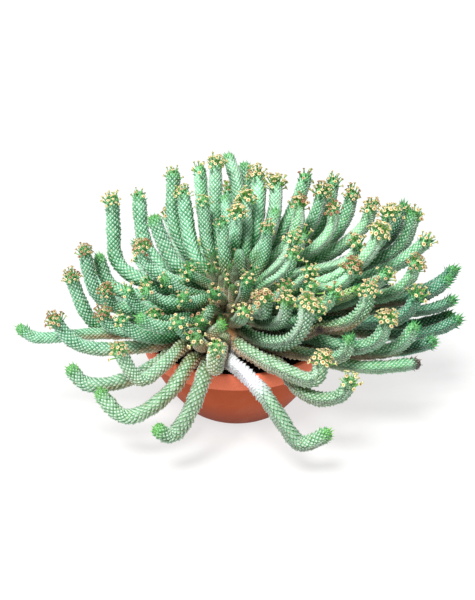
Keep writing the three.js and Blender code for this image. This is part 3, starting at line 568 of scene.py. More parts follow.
def settle(arms):
    # the arms push each other apart, their ways stay smooth, and pressed arms grow thinner
    home = np.concatenate([one["line"] for one in arms])
    counts = [len(one["line"]) for one in arms]
    starts = np.cumsum([0] + counts[:-1])
    owner = np.repeat(np.arange(len(arms)), counts)
    group = np.array([one["group"] for one in arms])[owner]
    along = np.concatenate([one["step"] * np.arange(len(one["line"])) for one in arms])
    whole = np.array([lengthOf(one["line"]) for one in arms])[owner]
    headed = np.array([one["tip"] != "bare" for one in arms])[owner]
    wide = np.concatenate([one["radii"] for one in arms])
    head = headed & (whole - along < settling["headReach"])
    wide = np.where(head, np.maximum(wide, settling["headRadius"]), wide)
    index = np.arange(len(home))
    before = np.maximum(index - 1, starts[owner])
    after = np.minimum(index + 1, (starts + np.array(counts) - 1)[owner])
    free = along >= settling["heldRoot"]

    def closePairs(place, clear):
        square = (place ** 2).sum(axis=1)
        far = np.sqrt(np.maximum(square[:, None] + square[None] - 2 * place @ place.T, 0))
        close = np.triu(far < wide[:, None] + wide[None] + clear, 1)
        close &= owner[:, None] != owner[None]
        rooted = along < arm["forkReach"]
        close &= ~((group[:, None] == group[None]) & rooted[:, None] & rooted[None])
        return np.nonzero(close)

    a, b = closePairs(home, settling["nearby"])
    moved = np.zeros_like(home)
    place = home.copy()
    for turn in range(settling["rounds"]):
        between = place[a] - place[b]
        far = lengths(between)
        need = wide[a] + wide[b] + settling["clear"]
        between *= np.where(far < need, settling["share"] * (need - far) / far, 0)[:, None]
        push = np.stack([
            np.bincount(a, between[:, k], len(home)) - np.bincount(b, between[:, k], len(home))
            for k in range(3)], axis=1)
        strength = np.maximum(lengths(push), 1e-9)
        push *= np.minimum(1, settling["strongest"] / strength)[:, None]
        moved += push
        moved = (0.5 * moved + 0.25 * moved[before] + 0.25 * moved[after]) * free[:, None]
        place = home + moved
        lift = clearOfPot(place, wide, along) * (along > settling["heldRoot"])[:, None]
        moved += lift
        place += lift
    radii = np.concatenate([one["radii"] for one in arms])
    for i, j in zip(*closePairs(place, settling["clear"])):
        room = np.linalg.norm(place[i] - place[j]) - settling["pressedClear"]
        share = room / (wide[i] + wide[j])
        if share < 1:
            for k in (i, j):
                for near in (before[k], k, after[k]):
                    radii[near] = min(radii[near], wide[k] * share)
    for one, start, count in zip(arms, starts, counts):
        one["line"] = place[start:start + count]
        one["radii"] = radii[start:start + count]


arms = layOutArms()
settle(arms)
print("ways laid out for", len(arms), "arms,", round(sum(lengthOf(one["line"]) for one in arms)), "mm")

# Surfaces.

# Skin colours: furrows darkened as painted shade, and pale tips, partly waxy bloom and partly painted
# highlight.
skinLook = {
    "roughness": 0.5, "furrowShadeTint": (0.75, 1.15, 0.72), "furrowShadeDepth": 0.38, "grooveShare": 1.0,
    "bleachedFurrowShade": 0.4, "bloom": "#F4F8F4", "bloomShare": 0.96, "leastBloomAndHighlight": 0.45, "scar": "#DDB090",
    "mottleSize": 9, "mottle": (0.88, 1.12), "bump": 0.25, "furrowShadeHeights": (0.0, 0.45),
    "bloomAndHighlightHeights": (0.5, 0.95), "waxyLights": (0.1, 0.5), "bleachedLights": (0.55, 0.75),
}


def makeArmSkin():
    # waxy succulent skin: green tubercles with furrows darkened as painted shade, and a pale tip on each,
    # partly waxy bloom and partly painted highlight; here and there the tan scar of an old flower stalk
    material, tree, shader = startMaterial("waxySucculentSkin", {
        "Roughness": skinLook["roughness"], "IOR": 1.4})
    tint = attribute(tree, "tint")
    raised = attribute(tree, "raised")["Fac"]
    light = addNode(tree, "ShaderNodeRGBToBW", links={"Color": tint["Color"]}).outputs["Val"]
    mottle = noise(tree, objectPlace(tree), 1000 / skinLook["mottleSize"], 3.0)
    # painted shade in the furrows: the tint squared, then darkened towards green, over the low ground of
    # each tubercle
    deep = blendColours(tree, 1.0, tint["Color"], tint["Color"], "MULTIPLY")
    furrowShadeTint = [share * skinLook["furrowShadeDepth"] for share in skinLook["furrowShadeTint"]]
    deep = blendColours(tree, 1.0, deep, furrowShadeTint, "MULTIPLY")
    furrowShade = remap(tree, raised, *skinLook["furrowShadeHeights"], skinLook["grooveShare"], 0.0)
    softer = remap(tree, light, *skinLook["bleachedLights"], 1.0, skinLook["bleachedFurrowShade"])
    body = blendColours(tree, combine(tree, "MULTIPLY", furrowShade, softer), tint["Color"], deep)
    body = speckle(tree, body, mottle, *skinLook["mottle"])
    # the pale tip of each tubercle, tan scar on some: partly waxy bloom, partly painted highlight, less on
    # dark tints
    tip = blendColours(tree, tint["Alpha"], linear(skinLook["scar"]), linear(skinLook["bloom"]))
    bloom = remap(tree, raised, *skinLook["bloomAndHighlightHeights"], 0.0, skinLook["bloomShare"])
    waxy = remap(tree, light, *skinLook["waxyLights"], skinLook["leastBloomAndHighlight"], 1.0)
    body = blendColours(tree, combine(tree, "MULTIPLY", bloom, waxy), body, tip)
    finishSurface(tree, shader, body, mottle, skinLook["bump"], 0.4)
    return material


def makeTintedTissue(name, roughness):
    # thin plant tissue, matt and a little uneven in colour
    material, tree, shader = startMaterial(name, {"Roughness": roughness, "IOR": 1.4})
    mottle = noise(tree, objectPlace(tree), 400.0, 2.0)
    colour = speckle(tree, attribute(tree, "tint")["Color"], mottle, 0.9, 1.1)
    tree.links.new(colour, shader.inputs["Base Color"])
    return material


clay = {
    "roughness": 0.72, "band": "#F67E5A", "body": "#B44812", "low": "#82300C", "lowShadeReach": 0.6,
    "bloom": "#D8A48C", "bloomShare": 0.1, "grainSize": 0.9, "grain": (0.8, 1.16), "cloudSize": 45,
    "ringSize": 2.2, "bump": 0.35, "bloomClouds": (0.52, 0.75),
}


def makeTerracotta():
    # fired clay, thrown on a wheel: dead matt, fine sand specks, faint rings and pale salt bloom
    material, tree, shader = startMaterial("unglazedTerracotta", {
        "Roughness": clay["roughness"], "IOR": 1.45})
    place = objectPlace(tree)
    height = addNode(tree, "ShaderNodeSeparateXYZ", links={"Vector": place}).outputs["Z"]
    bandBottom = (pot["height"] - pot["bandHeight"]) * mm
    # the band lighter and the wall darker towards the foot: painted light on the band, painted shade low on
    # the wall
    rise = remap(tree, height, 0.0, bandBottom * clay["lowShadeReach"], 0.0, 1.0)
    wall = blendColours(tree, rise, linear(clay["low"]), linear(clay["body"]))
    inBand = remap(tree, height, bandBottom, bandBottom + 2 * mm, 0.0, 1.0)
    colour = blendColours(tree, inBand, wall, linear(clay["band"]))
    cloud = noise(tree, place, 1000 / clay["cloudSize"], 4.0)
    bloom = remap(tree, cloud, *clay["bloomClouds"], 0.0, clay["bloomShare"])
    colour = blendColours(tree, bloom, colour, linear(clay["bloom"]))
    grain = noise(tree, place, 1000 / clay["grainSize"], 2.0)
    colour = speckle(tree, colour, grain, *clay["grain"])
    stretch = {"Scale": (20, 20, 1000 / clay["ringSize"])}
    flat = addNode(tree, "ShaderNodeMapping", stretch, {"Vector": place})
    rings = noise(tree, flat.outputs["Vector"], 1.0, 2.0)
    finishSurface(tree, shader, colour, combine(tree, "ADD", rings, grain), clay["bump"], 0.5)
    return material


soilLook = {
    "wet": "#120D0C", "dry": "#4A382D", "crumbs": 320.0, "bump": 0.8, "dryCrumbs": (0.35, 0.7),
}


def makeSoil():
    # damp peat and grit: near black, with brown crumbs
    material, tree, shader = startMaterial("dampPottingSoil", {"Roughness": 0.95})
    crumb = noise(tree, objectPlace(tree), soilLook["crumbs"], 5.0)
    share = remap(tree, crumb, *soilLook["dryCrumbs"], 0.0, 1.0)
    colour = blendColours(tree, share, linear(soilLook["wet"]), linear(soilLook["dry"]))
    finishSurface(tree, shader, colour, crumb, soilLook["bump"], 1.5)
    return material


barkLook = {
    "dark": "#C48E60", "light": "#F0D2A8", "crack": "#94623C", "crackShare": 0.8, "plates": 330.0,
    "patches": 90.0, "bump": 0.7, "crackWidth": 0.14, "lightPatches": (0.35, 0.65),
}


def makeBark():
    # corky bark of the caudex: dry, tan and cracked into small plates
    material, tree, shader = startMaterial("corkyBark", {"Roughness": 0.9})
    place = objectPlace(tree)
    plates = addNode(tree, "ShaderNodeTexVoronoi", {
        "feature": "DISTANCE_TO_EDGE", "Scale": barkLook["plates"]}, {"Vector": place}).outputs["Distance"]
    crack = remap(tree, plates, 0.0, barkLook["crackWidth"], barkLook["crackShare"], 0.0)
    patch = noise(tree, place, barkLook["patches"], 4.0)
    patch = remap(tree, patch, *barkLook["lightPatches"], 0.0, 1.0)
    body = blendColours(tree, patch, linear(barkLook["dark"]), linear(barkLook["light"]))
    colour = blendColours(tree, crack, body, linear(barkLook["crack"]))
    finishSurface(tree, shader, colour, plates, barkLook["bump"], 1.2)
    return material


armSkin = makeArmSkin()
flowerTissue = makeTintedTissue("flowerTissue", 0.6)
leafTissue = makeTintedTissue("leafTissue", 0.5)
terracotta = makeTerracotta()
pottingSoil = makeSoil()
corkyBark = makeBark()
plantMaterials = [armSkin, flowerTissue, leafTissue]
print("surfaces made")


# The shapes that repeat, each modelled once.

skin = {
    "columns": 9, "rows": 150, "rowCuts": (15, 10), "rowPitch": 0.31, "tubercleRise": 0.29, "skipped": 24,
    "tipReach": 1.05,
}


def modelArmSkin():
    # a straight arm of radius 1: a tube, cut to a net of diamonds, each raised to a tubercle, whose tip
    # alone stands beyond tipReach
    deselectAll()
    long = skin["rows"] * skin["rowPitch"]
    bpy.ops.mesh.primitive_cylinder_add(
        vertices=2 * skin["columns"], radius=1, depth=long, end_fill_type="NOTHING",
        location=(0, 0, long / 2))
    piece = bpy.context.object
    bpy.ops.object.transform_apply(location=True)
    editOnly(piece)
    for pieces in skin["rowCuts"]:
        selectUprightEdges(piece)
        bpy.ops.mesh.subdivide(number_cuts=pieces - 1)
    bpy.ops.mesh.select_mode(type="VERT")
    bpy.ops.mesh.select_all(action="SELECT")
    bpy.ops.mesh.unsubdivide(iterations=1)
    bpy.ops.mesh.select_mode(type="FACE")
    bpy.ops.mesh.select_all(action="SELECT")
    bpy.ops.mesh.poke(offset=skin["tubercleRise"])
    return takeMesh(piece)


flower = {
    "sides": 10, "stalkRadius": 0.8, "stalkLength": 10, "lobeShare": 1.5,
    "rings": [(1.2, 1.6), (1.95, 1.4), (2.5, 0.5), (1.8, 0.3), (1.4, -0.2)], "domeRise": 0.9,
}


def modelFlower():
    # a stalked flower cup: the stalk widens to a cup with five lobes and a small domed middle
    deselectAll()
    long = flower["stalkLength"]
    bpy.ops.mesh.primitive_cylinder_add(
        vertices=flower["sides"], radius=flower["stalkRadius"], depth=long, end_fill_type="NGON",
        location=(0, 0, long / 2))
    piece = bpy.context.object
    bpy.ops.object.transform_apply(location=True)
    editOnly(piece)
    bpy.ops.mesh.select_mode(type="FACE")
    selectPoints(piece, lambda place: place.z > long - 0.01)
    radius, height = flower["stalkRadius"], long
    lobeHeight = None
    for step, (radiusNow, rise) in enumerate(flower["rings"]):
        bpy.ops.mesh.extrude_region_move(TRANSFORM_OT_translate={"value": (0, 0, rise)})
        bpy.ops.transform.resize(value=(radiusNow / radius, radiusNow / radius, 1))
        radius, height = radiusNow, height + rise
        if step == 2:
            lobeHeight = height
    bpy.ops.mesh.poke(offset=flower["domeRise"])
    bpy.ops.mesh.select_mode(type="VERT")
    turn = 2 * math.pi / flower["sides"]

    def onLobe(place):
        corner = round(math.atan2(place.y, place.x) / turn)
        return abs(place.z - lobeHeight) < 0.05 and corner % 2 == 0

    selectPoints(piece, onLobe)
    share = flower["lobeShare"]
    bpy.ops.transform.resize(value=(share, share, 1))
    return takeMesh(piece)


leaf = {
    "sides": 5, "rings": [(0.33, 1.9, 0.02), (0.67, 1.7, 0.0)], "halfWidth": 0.12, "flat": 0.4,
    "droop": 0.18,
}


def modelLeaf():
    # a narrow fleshy leaf one unit long, widest at its middle, pointed and curved back
    deselectAll()
    bpy.ops.mesh.primitive_cone_add(
        vertices=leaf["sides"], radius1=leaf["halfWidth"], radius2=0, depth=1, location=(0, 0, 0.5))
    piece = bpy.context.object
    bpy.ops.object.transform_apply(location=True)
    editOnly(piece)
    selectUprightEdges(piece)
    bpy.ops.mesh.subdivide(number_cuts=2)
    bpy.ops.mesh.select_mode(type="VERT")
    for height, widen, forward in leaf["rings"]:
        selectPoints(piece, lambda place: abs(place.z - height) < 0.05)
        bpy.ops.transform.resize(value=(widen, widen, 1))
        bpy.ops.transform.translate(value=(0, forward, 0))
    selectPoints(piece, lambda place: place.z > 0.95)
    bpy.ops.transform.translate(value=(0, -leaf["droop"], 0))
    bpy.ops.mesh.select_all(action="SELECT")
    bpy.ops.transform.resize(value=(1, leaf["flat"], 1))
    return takeMesh(piece)


skinPoints, skinFaces = modelArmSkin()
flowerPoints, flowerFaces = modelFlower()
leafPoints, leafFaces = modelLeaf()
print("modelled once: arm skin", len(skinFaces), "flower", len(flowerFaces), "leaf", len(leafFaces))


# The arms: the straight skin bent along each way, then the flowers and leaves at its tip.

# jade, on the back arms, and pale, on some centre-right arms, are lighter partly as painted light
tones = {
    "mint": "#90BE96", "sage": "#82C492", "jade": "#A8E4C0", "sea": "#86C69C", "olive": "#9CC66A",
    # occlusionShade is the tint of the painted shade where the arms crowd
    "deep": "#4E9672", "pale": "#A6E0B2", "occlusionShade": "#3CA456",
    "bleached": "#E6E6F2", "bark": "#CDA67C", "dry": "#A98A68", "charred": "#3E2620", "fresh": "#6CC058",
}
toneColours = {name: np.array(linear(tone)) for name, tone in tones.items()}
sideTones = {"front": "mint", "left": "sea", "right": "sage", "back": "jade"}


def byArm(lists):  # "right_12 0 1" stands for the first two arms of the node arm_right_12
    found = {}
    for value, nodes in lists.items():
        for node in nodes:
            node, *forks = node.split()
            found.update({("arm_" + node, int(fork)): value for fork in forks})
    return found


armTones = byArm({
    "bleached": ["front_01 0"], "olive": ["right_14 1"], "dry": ["right_18 1"],
    "deep": ["right_07 0", "right_12 0 1", "right_13 0 1", "right_14 0", "right_16 0 1"],
    # pale: lighter, partly as painted highlight on these centre-right arms
    "pale": [
        "right_02 0 1 2", "right_04 0 1", "right_05 0", "right_06 1", "right_11 0 1", "right_19 0 1 2"],
})
headAges = byArm({
    1.0: ["left_05 0"], 0.9: ["left_02 0", "left_04 0", "right_02 1", "right_11 0"],
    0.8: ["left_03 0", "left_07 0", "left_10 0"], 0.2: ["back_01 1"],
    0.1: ["left_05 1", "left_07 1", "left_08 0", "left_14 1", "right_04 1", "back_04 1"],
})
headPlans = byArm({
    "dried": ["right_17 0", "right_18 1"],
    "both": [
        "front_03 0", "front_07 0", "front_09 1", "front_10 0", "left_13 0", "right_15 1", "right_19 0 1"],
    "few": [
        "front_06 0", "left_07 1", "left_09 0", "left_10 1", "left_13 1", "left_14 0 1", "right_01 0",
        "right_04 1", "right_19 2"],
})
heads = {  # how many flowers and leaves
    "flowers": (34, 12), "few": (9, 16), "both": (16, 20), "leaves": (0, 26), "bare": (0, 0),
    "dried": (0, 18), "budding": (2, 4),
}
freshShares = {"leaves": 0.7, "both": 0.55, "few": 0.55, "flowers": 0.6, "budding": 0.25, "bare": 0}
armLook = {
    "grooveShare": 0.76, "tipShare": 1.0, "lean": 0.4, "astray": 0.2, "shallow": 0.32,
    "unevenGroove": 0.03, "unevenTip": 0.07, "shortestRow": 0.9, "tipBeyond": 7, "domeShare": 1.1,
    "taperReach": 40, "taper": 0.2, "sunk": 4, "rootShare": 0.84, "swellings": [(41, 0.04), (17, 0.025)],
}
armAge = {  # colours along an arm, with painted shade where the arms crowd; the reaches are in mm
    "lightness": (0.84, 1.1), "redness": (0.96, 1.04), "blueness": (0.96, 1.06), "freshReach": 14,
    "waxless": 0.35, "charredReach": 9, "bleachedReach": 0.47, "scars": 0.07, "crownShade": 0.3,
    "crownScars": 0.45, "crownReach": 75, "crownBark": 0.9, "occlusionReach": 55, "occlusionShadeStrength": 0.85,
    "bleachedOcclusionShade": 0.3, "lowRoot": 140, "barkReach": 150, "openBark": 1.35, "hiddenBark": 1.6,
    "hiddenShare": 3.2, "hiddenFrom": 0.3, "mostBark": 0.95, "grownLength": 150, "occlusionShadeGain": 1.25,
    "occlusionShadeFrom": 0.15, "bleachedFade": 0.1, "barkBelow": 0.7, "upperBark": 0.1, "leastPatch": 0.3,
    "furrowBark": 1.2, "tipBark": 0.5, "crownBelow": 0.55, "crownPatch": (0.6, 0.8), "charredFrom": 1.6,
}
headLook = {  # where the flowers and leaves of a tip stand, in mm and degrees
    "flowerDepth": (0.8, 13), "highFlowerDepth": (0.8, 14), "highFrom": 225, "highBehind": -30,
    "flowerTilt": (8, 66), "tiltSpread": 9, "up": 0.15, "gapWidth": 0.4, "gapFrom": 0.3,
    "gapChance": 0.5, "ages": (0.25, 0.75), "ageSpread": 0.35, "grown": (0.88, 1.1), "youngArms": 0.95,
    "size": (0.68, 0.96), "stalk": (0.4, 1.0), "leafDepth": (0.5, 15), "leafTilt": (14, 50),
    "leafTiltSpread": 6, "leaf": (5, 8.5), "driedLeaf": 0.7, "cupAging": 0.3, "lobeAging": 2.5,
    "leafBase": 0.75, "leafBrightening": 0.4,
}
leafTints = {
    "front": ("#86D45C", "#5CB45A"), "left": ("#7CCC6C", "#4CA45E"), "right": ("#5EB468", "#37875A"),
    "back": ("#6CC070", "#429862"), "dried": ("#8A6450", "#4A3028"),
}
leafLengths = {"right": 1.25, "front": 0.9}
flowerTints = {
    "stalk": "#86C05A", "cup": "#BCCC6C", "youngLobe": "#F8F0BC", "youngMiddle": "#CC9848",
    "oldLobe": "#B48A66", "oldMiddle": "#6E4230",
}
flowerSizes = {"front": 1.12, "left": 1, "back": 1.3, "right": 1.2}


def framesAlong(line):
    ahead = np.gradient(line, axis=0)
    ahead /= lengths(ahead)[:, None]
    side = np.array([1.0, 0, 0]) if abs(ahead[0, 2]) > 0.9 else np.array([0, 0, 1.0])
    sides = []
    for direction in ahead:
        side = side - direction * side.dot(direction)
        side = side / np.linalg.norm(side)
        sides.append(side)
    sides = np.array(sides)
    return ahead, sides, np.cross(ahead, sides)


def bendSkin(one, neighbours, chance):
    # the way from just inside the caudex to the tip, every 2 mm, and how thick the arm is there
    way = evenly(one["line"], roundOff(lengthOf(one["line"]) / arm["finerStep"]))
    ends = len(way) - roundOff(arm["headLength"] / arm["finerStep"])
    step = lengthOf(way) / (len(way) - 1)
    long = step * (ends - 1) + armLook["tipBeyond"]
    root = way[0] - outOfCaudex(way[0]) * armLook["sunk"]
    way = np.concatenate([[root], way])
    along = np.concatenate([[-armLook["sunk"]], step * np.arange(len(way) - 1)])
    ahead, side, across = framesAlong(way)
    radii = np.interp(along, one["step"] * np.arange(len(one["radii"])), one["radii"])
    radii = np.where(
        along < arm["thickenBy"], np.maximum(radii, armLook["rootShare"] * one["halfThick"]), radii)
    for wave, depth in armLook["swellings"]:
        radii = radii * (1 + depth * np.sin(2 * math.pi * along / wave + chance.uniform(*anySpin)))
    nearTip = np.clip(1 - (long - along) / armLook["taperReach"], 0, 1)
    radii = radii * (1 - armLook["taper"] * nearTip ** 2)
    dome = armLook["domeShare"] * radii[-1]
    toTip = np.clip((along - (long - dome)) / dome, 0, 1)
    radii = radii * np.sqrt(1 - toTip ** 2)
    rows = [arm["forkStart"] - armLook["sunk"] if one["fork"] else -armLook["sunk"]]
    while rows[-1] < long:
        pitch = skin["rowPitch"] * np.interp(rows[-1], along, radii)
        rows.append(rows[-1] + max(armLook["shortestRow"], pitch))
    rows[-1] = long
    rows = np.array(rows)
    count = len(rows) - 1
    number = skinPoints[:, 2] / skin["rowPitch"] - skin["skipped"]
    inside = (number > -0.1) & (number < count + 0.1)
    used, kept = np.unique(skinFaces[inside[skinFaces].all(axis=1)], return_inverse=True)
    kept = kept.reshape(-1, 3)
    number = number[used]
    angle = np.arctan2(skinPoints[used, 1], skinPoints[used, 0])
    raised = (lengths(skinPoints[used, :2]) > skin["tipReach"]).astype(float)
    at = np.interp(number, np.arange(count + 1), rows)
    radius = np.interp(at, along, radii)
    lean = raised * armLook["lean"] * skin["rowPitch"] * radius * 2
    share = armLook["grooveShare"] + raised * (armLook["tipShare"] - armLook["grooveShare"])
    uneven = np.array([[chance.uniform(-1, 1) for k in range(4)] for point in used])
    spread = np.where(raised > 0, armLook["unevenTip"], armLook["unevenGroove"])
    share = share * (1 + spread * uneven[:, 0])
    atEnd = (number < 0.1) | (number > count - 0.1)
    share = np.where(atEnd, 0, share)
    astray = raised * armLook["astray"]
    at = np.minimum(at + lean + astray * skin["rowPitch"] * radius * uneven[:, 1], long)
    angle = angle + astray * math.pi / skin["columns"] * uneven[:, 2]
    shallow = armLook["shallow"] * (0.5 + 0.5 * uneven[:, 3]) * (raised < 0.5)

    def alongWay(values):
        return np.stack([np.interp(at, along, values[:, k]) for k in range(3)], axis=1)

    out = alongWay(side) * np.cos(angle)[:, None] + alongWay(across) * np.sin(angle)[:, None]
    points = alongWay(way) + out * (radius * share)[:, None]
    for near in (number < 0.1, number > count - 0.1):
        same = np.nonzero(near)[0]
        if len(same):
            points[same] = points[same].mean(axis=0)
            kept[np.isin(kept, same)] = same[0]
    whole = (kept[:, 0] != kept[:, 1]) & (kept[:, 1] != kept[:, 2]) & (kept[:, 2] != kept[:, 0])
    kept = kept[whole]
    same, times = np.unique(  # faces folded onto each other at an end go
        np.sort(kept, axis=1), axis=0, return_inverse=True, return_counts=True)[1:]
    used, kept = np.unique(kept[times[same.ravel()] == 1], return_inverse=True)
    kept = kept.reshape(-1, 3)
    occluded = occlusionShade(one, at[used], points[used], out[used], neighbours)
    colours = skinColours(one, at[used], long, out[used], raised[used], occluded, chance)
    waxless = np.clip(1 - (long - at) / armAge["freshReach"], 0, 1) * (one["tip"] != "bare")
    raised = raised * (1 - armAge["waxless"] * waxless) + shallow
    last = np.searchsorted(along, long) - 1
    tip = {
        "place": np.array([np.interp(long, along, way[:, k]) for k in range(3)]),
        "ahead": ahead[last], "side": side[last], "across": across[last],
        "back": (long - along)[::-1], "radii": (armLook["grooveShare"] * radii)[::-1],
    }
    return (points[used], kept, 0, colours, raised[used]), tip


# Painted shade: the occlusion by other arms, worked out here, darkens the skin in skinColours.
def occlusionShade(one, at, points, out, neighbours):
    # how much of what a point of the skin faces is filled by the other arms, stretch by stretch
    places, wide, owners = neighbours
    reach = armAge["occlusionReach"]
    filled = np.zeros(len(points))
    order = np.argsort(at)
    stretch = 400
    for start in range(0, len(points), stretch):
        part = order[start:start + stretch]
        here = points[part]
        near = ((places > here.min(axis=0) - reach) & (places < here.max(axis=0) + reach)).all(axis=1)
        near &= owners != id(one)
        between = places[near][None] - here[:, None]
        far = np.maximum(lengths(between), wide[near][None])
        facing = np.maximum((between * out[part, None]).sum(axis=2) / far, 0) * (far < reach)
        filled[part] = (facing * 2 * wide[near][None] * arm["step"] / (math.pi * far ** 2)).sum(axis=1)
    return np.clip(filled, 0, 1)


def mixIn(colours, tone, share):
    return colours * (1 - share)[:, None] + toneColours[tone] * share[:, None]


def skinColours(one, at, long, out, raised, occluded, chance):
    side = one["node"].split("_")[1] if one["node"] != "caudex" else "left"
    tone = armTones.get((one["node"], one["fork"]), sideTones[side])
    if one["group"] < 0:
        tone = "deep"
    base = toneColours[tone] * chance.uniform(*armAge["lightness"])
    base = base * np.array([chance.uniform(*armAge["redness"]), 1, chance.uniform(*armAge["blueness"])])
    colours = np.repeat(base[None], len(at), axis=0)
    # painted shade: the skin darkened towards deep green where other arms fill what it faces
    paintedShade = np.clip(armAge["occlusionShadeGain"] * occluded - armAge["occlusionShadeFrom"], 0, 1)[:, None]
    paintedShade = armAge["occlusionShadeStrength"] * paintedShade * (armAge["bleachedOcclusionShade"] if tone == "bleached" else 1)
    colours = colours * (1 - paintedShade * (1 - toneColours["occlusionShade"]))
    patch = np.array([chance.random() for k in at])
    scarShare = np.full(len(at), armAge["scars"])
    old = np.clip(1 - at / armAge["crownReach"], 0, 1)
    if tone == "bleached":
        green = np.clip((at / long - armAge["bleachedReach"]) / armAge["bleachedFade"], 0, 1)
        colours = mixIn(mixIn(colours, "mint", green), "bark", old * (1 - raised) * patch)
    elif tone != "dry" and one["line"][0][2] < armAge["lowRoot"]:
        # bark on the undersides of the low arms, most where other arms lie close
        along = at / armAge["barkReach"]
        below = np.clip(armAge["barkBelow"] - out[:, 2], armAge["upperBark"], 1)
        bark = np.clip(armAge["openBark"] - along, 0, 1) * below * (armAge["leastPatch"] + patch)
        deep = np.clip(occluded - armAge["hiddenFrom"], 0, 1) * below
        bark = bark + np.clip(armAge["hiddenBark"] - along, 0, 1) * armAge["hiddenShare"] * deep
        bark = bark * min(1, long / armAge["grownLength"]) ** 3
        bark = bark * (armAge["furrowBark"] - armAge["tipBark"] * raised)
        colours = mixIn(colours, "bark", np.clip(bark, 0, armAge["mostBark"]))
    elif tone != "dry":
        # painted shade: arm bases darker near the crown, where the arms crowd
        colours = colours * (1 - armAge["crownShade"] * old)[:, None]
        scarShare = scarShare + armAge["crownScars"] * old
        least, more = armAge["crownPatch"]
        bark = old * (armAge["crownBelow"] - out[:, 2]) * (least + more * patch)
        colours = mixIn(colours, "bark", np.clip(bark, 0, armAge["crownBark"]))
    fresh = np.clip(1 - (long - at) / armAge["freshReach"], 0, 1)
    colours = mixIn(colours, "fresh", fresh * freshShares[one["tip"]])
    if tone == "dry" or one["node"] == "arm_right_17":
        charred = armAge["charredFrom"] - (long - at) / armAge["charredReach"]
        colours = mixIn(colours, "charred", np.clip(charred, 0, 1))
    return np.column_stack([colours, patch > scarShare])


def stand(points, place, direction, spin, size):
    # a copy of an upright shape, turned about itself, then stood at place along direction
    direction = direction / np.linalg.norm(direction)
    helper = np.array([0, 0, 1.0]) if abs(direction[2]) < 0.9 else np.array([1.0, 0, 0])
    x = np.cross(helper, direction)
    x /= np.linalg.norm(x)
    y = np.cross(direction, x)
    c, s = math.cos(spin), math.sin(spin)
    x, y = x * c + y * s, y * c - x * s
    scaled = points * size
    return place + scaled[:, :1] * x + scaled[:, 1:2] * y + scaled[:, 2:] * direction


def flowerCopy(place, direction, spin, size, stalk, age):
    points = flowerPoints.copy()
    height = flowerPoints[:, 2]
    onStalk = height < flower["stalkLength"] + 0.01
    points[:, 2] = np.where(onStalk, height * stalk, height + flower["stalkLength"] * (stalk - 1))
    marks = np.cumsum([flower["stalkLength"]] + [rise for width, rise in flower["rings"]])
    inMiddle = (height > marks[3] - 0.05) & (lengths(flowerPoints[:, :2]) < flower["rings"][4][0] + 0.1)
    names = np.select([inMiddle, height < marks[0] + 0.01, height < marks[2] - 0.05], [3, 0, 1], 2)
    young, old = (
        np.array([linear(flowerTints[name]) for name in ("stalk", "cup", stage + "Lobe", stage + "Middle")])
        for stage in ("young", "old"))
    aged = np.array([0, headLook["cupAging"] * age, age ** headLook["lobeAging"], age])[:, None]
    colours = np.column_stack([(young * (1 - aged) + old * aged)[names], np.ones(len(points))])
    return stand(points, place, direction, spin, size), flowerFaces, 1, colours, np.ones(len(points))


def leafCopy(place, direction, spin, long, tint):
    shade = headLook["leafBase"] + headLook["leafBrightening"] * leafPoints[:, 2:]
    colours = np.column_stack([np.array(linear(tint)) * shade, np.ones(len(leafPoints))])
    return stand(leafPoints, place, direction, spin, long), leafFaces, 2, colours, np.ones(len(leafPoints))


def onTip(tip, back, angle, tilt):  # a place on a tip's skin, so far back, and a tilted way out there
    around = tip["side"] * math.cos(angle) + tip["across"] * math.sin(angle)
    rim = np.interp(back, tip["back"], tip["radii"])
    place = tip["place"] - tip["ahead"] * back + around * rim
    return place, tip["ahead"] * math.cos(tilt) + around * math.sin(tilt)


def dressTip(one, tip, chance):
    copies = []
    kind = headPlans.get((one["node"], one["fork"]), one["tip"])
    flowers, leaves = heads[kind]
    side = one["node"].split("_")[1] if one["node"] != "caudex" else "right"
    young, old = leafTints["dried" if kind == "dried" else side]
    age = headAges.get((one["node"], one["fork"]), chance.uniform(*headLook["ages"]))
    golden = math.pi * (3 - math.sqrt(5))
    turn = chance.uniform(0, 2 * math.pi)
    gap = chance.uniform(0, 2 * math.pi)
    high = tip["place"][2] > headLook["highFrom"] and tip["place"][1] > headLook["highBehind"]
    first, depth = headLook["highFlowerDepth" if high else "flowerDepth"]
    upright, lean = headLook["flowerTilt"]
    grown = headLook["youngArms"] if one["node"] == "caudex" else flowerSizes[side]
    grown = chance.uniform(*headLook["grown"]) * grown
    for k in range(flowers):
        share = (k + 0.5) / flowers
        angle = turn + k * golden
        inGap = math.cos(angle - gap) > headLook["gapWidth"] and share > headLook["gapFrom"]
        if inGap and chance.random() < headLook["gapChance"]:
            continue
        spread = headLook["tiltSpread"]
        tilt = math.radians(upright + lean * share + chance.uniform(-spread, spread))
        place, direction = onTip(tip, first + depth * share, angle, tilt)
        direction = direction + np.array([0, 0, headLook["up"]])
        spread = headLook["ageSpread"]
        flowerAge = min(1, max(0, age + chance.uniform(-spread, spread)))
        copies.append(flowerCopy(
            place, direction, chance.uniform(*anySpin), grown * chance.uniform(*headLook["size"]),
            chance.uniform(*headLook["stalk"]), flowerAge))
    first, depth = headLook["leafDepth"]
    upright, lean = headLook["leafTilt"]
    spread = headLook["leafTiltSpread"]
    dried = headLook["driedLeaf"] if kind == "dried" else 1
    for k in range(leaves):
        share = (k + 0.5) / leaves
        tilt = math.radians(upright + lean * share + chance.uniform(-spread, spread))
        place, direction = onTip(tip, first + depth * share, turn + 1 + k * golden, tilt)
        tint = young if chance.random() > share else old
        long = leafLengths.get(side, 1) * chance.uniform(*headLook["leaf"]) * dried
        copies.append(leafCopy(place, direction, chance.uniform(*anySpin), long, tint))
    return copies


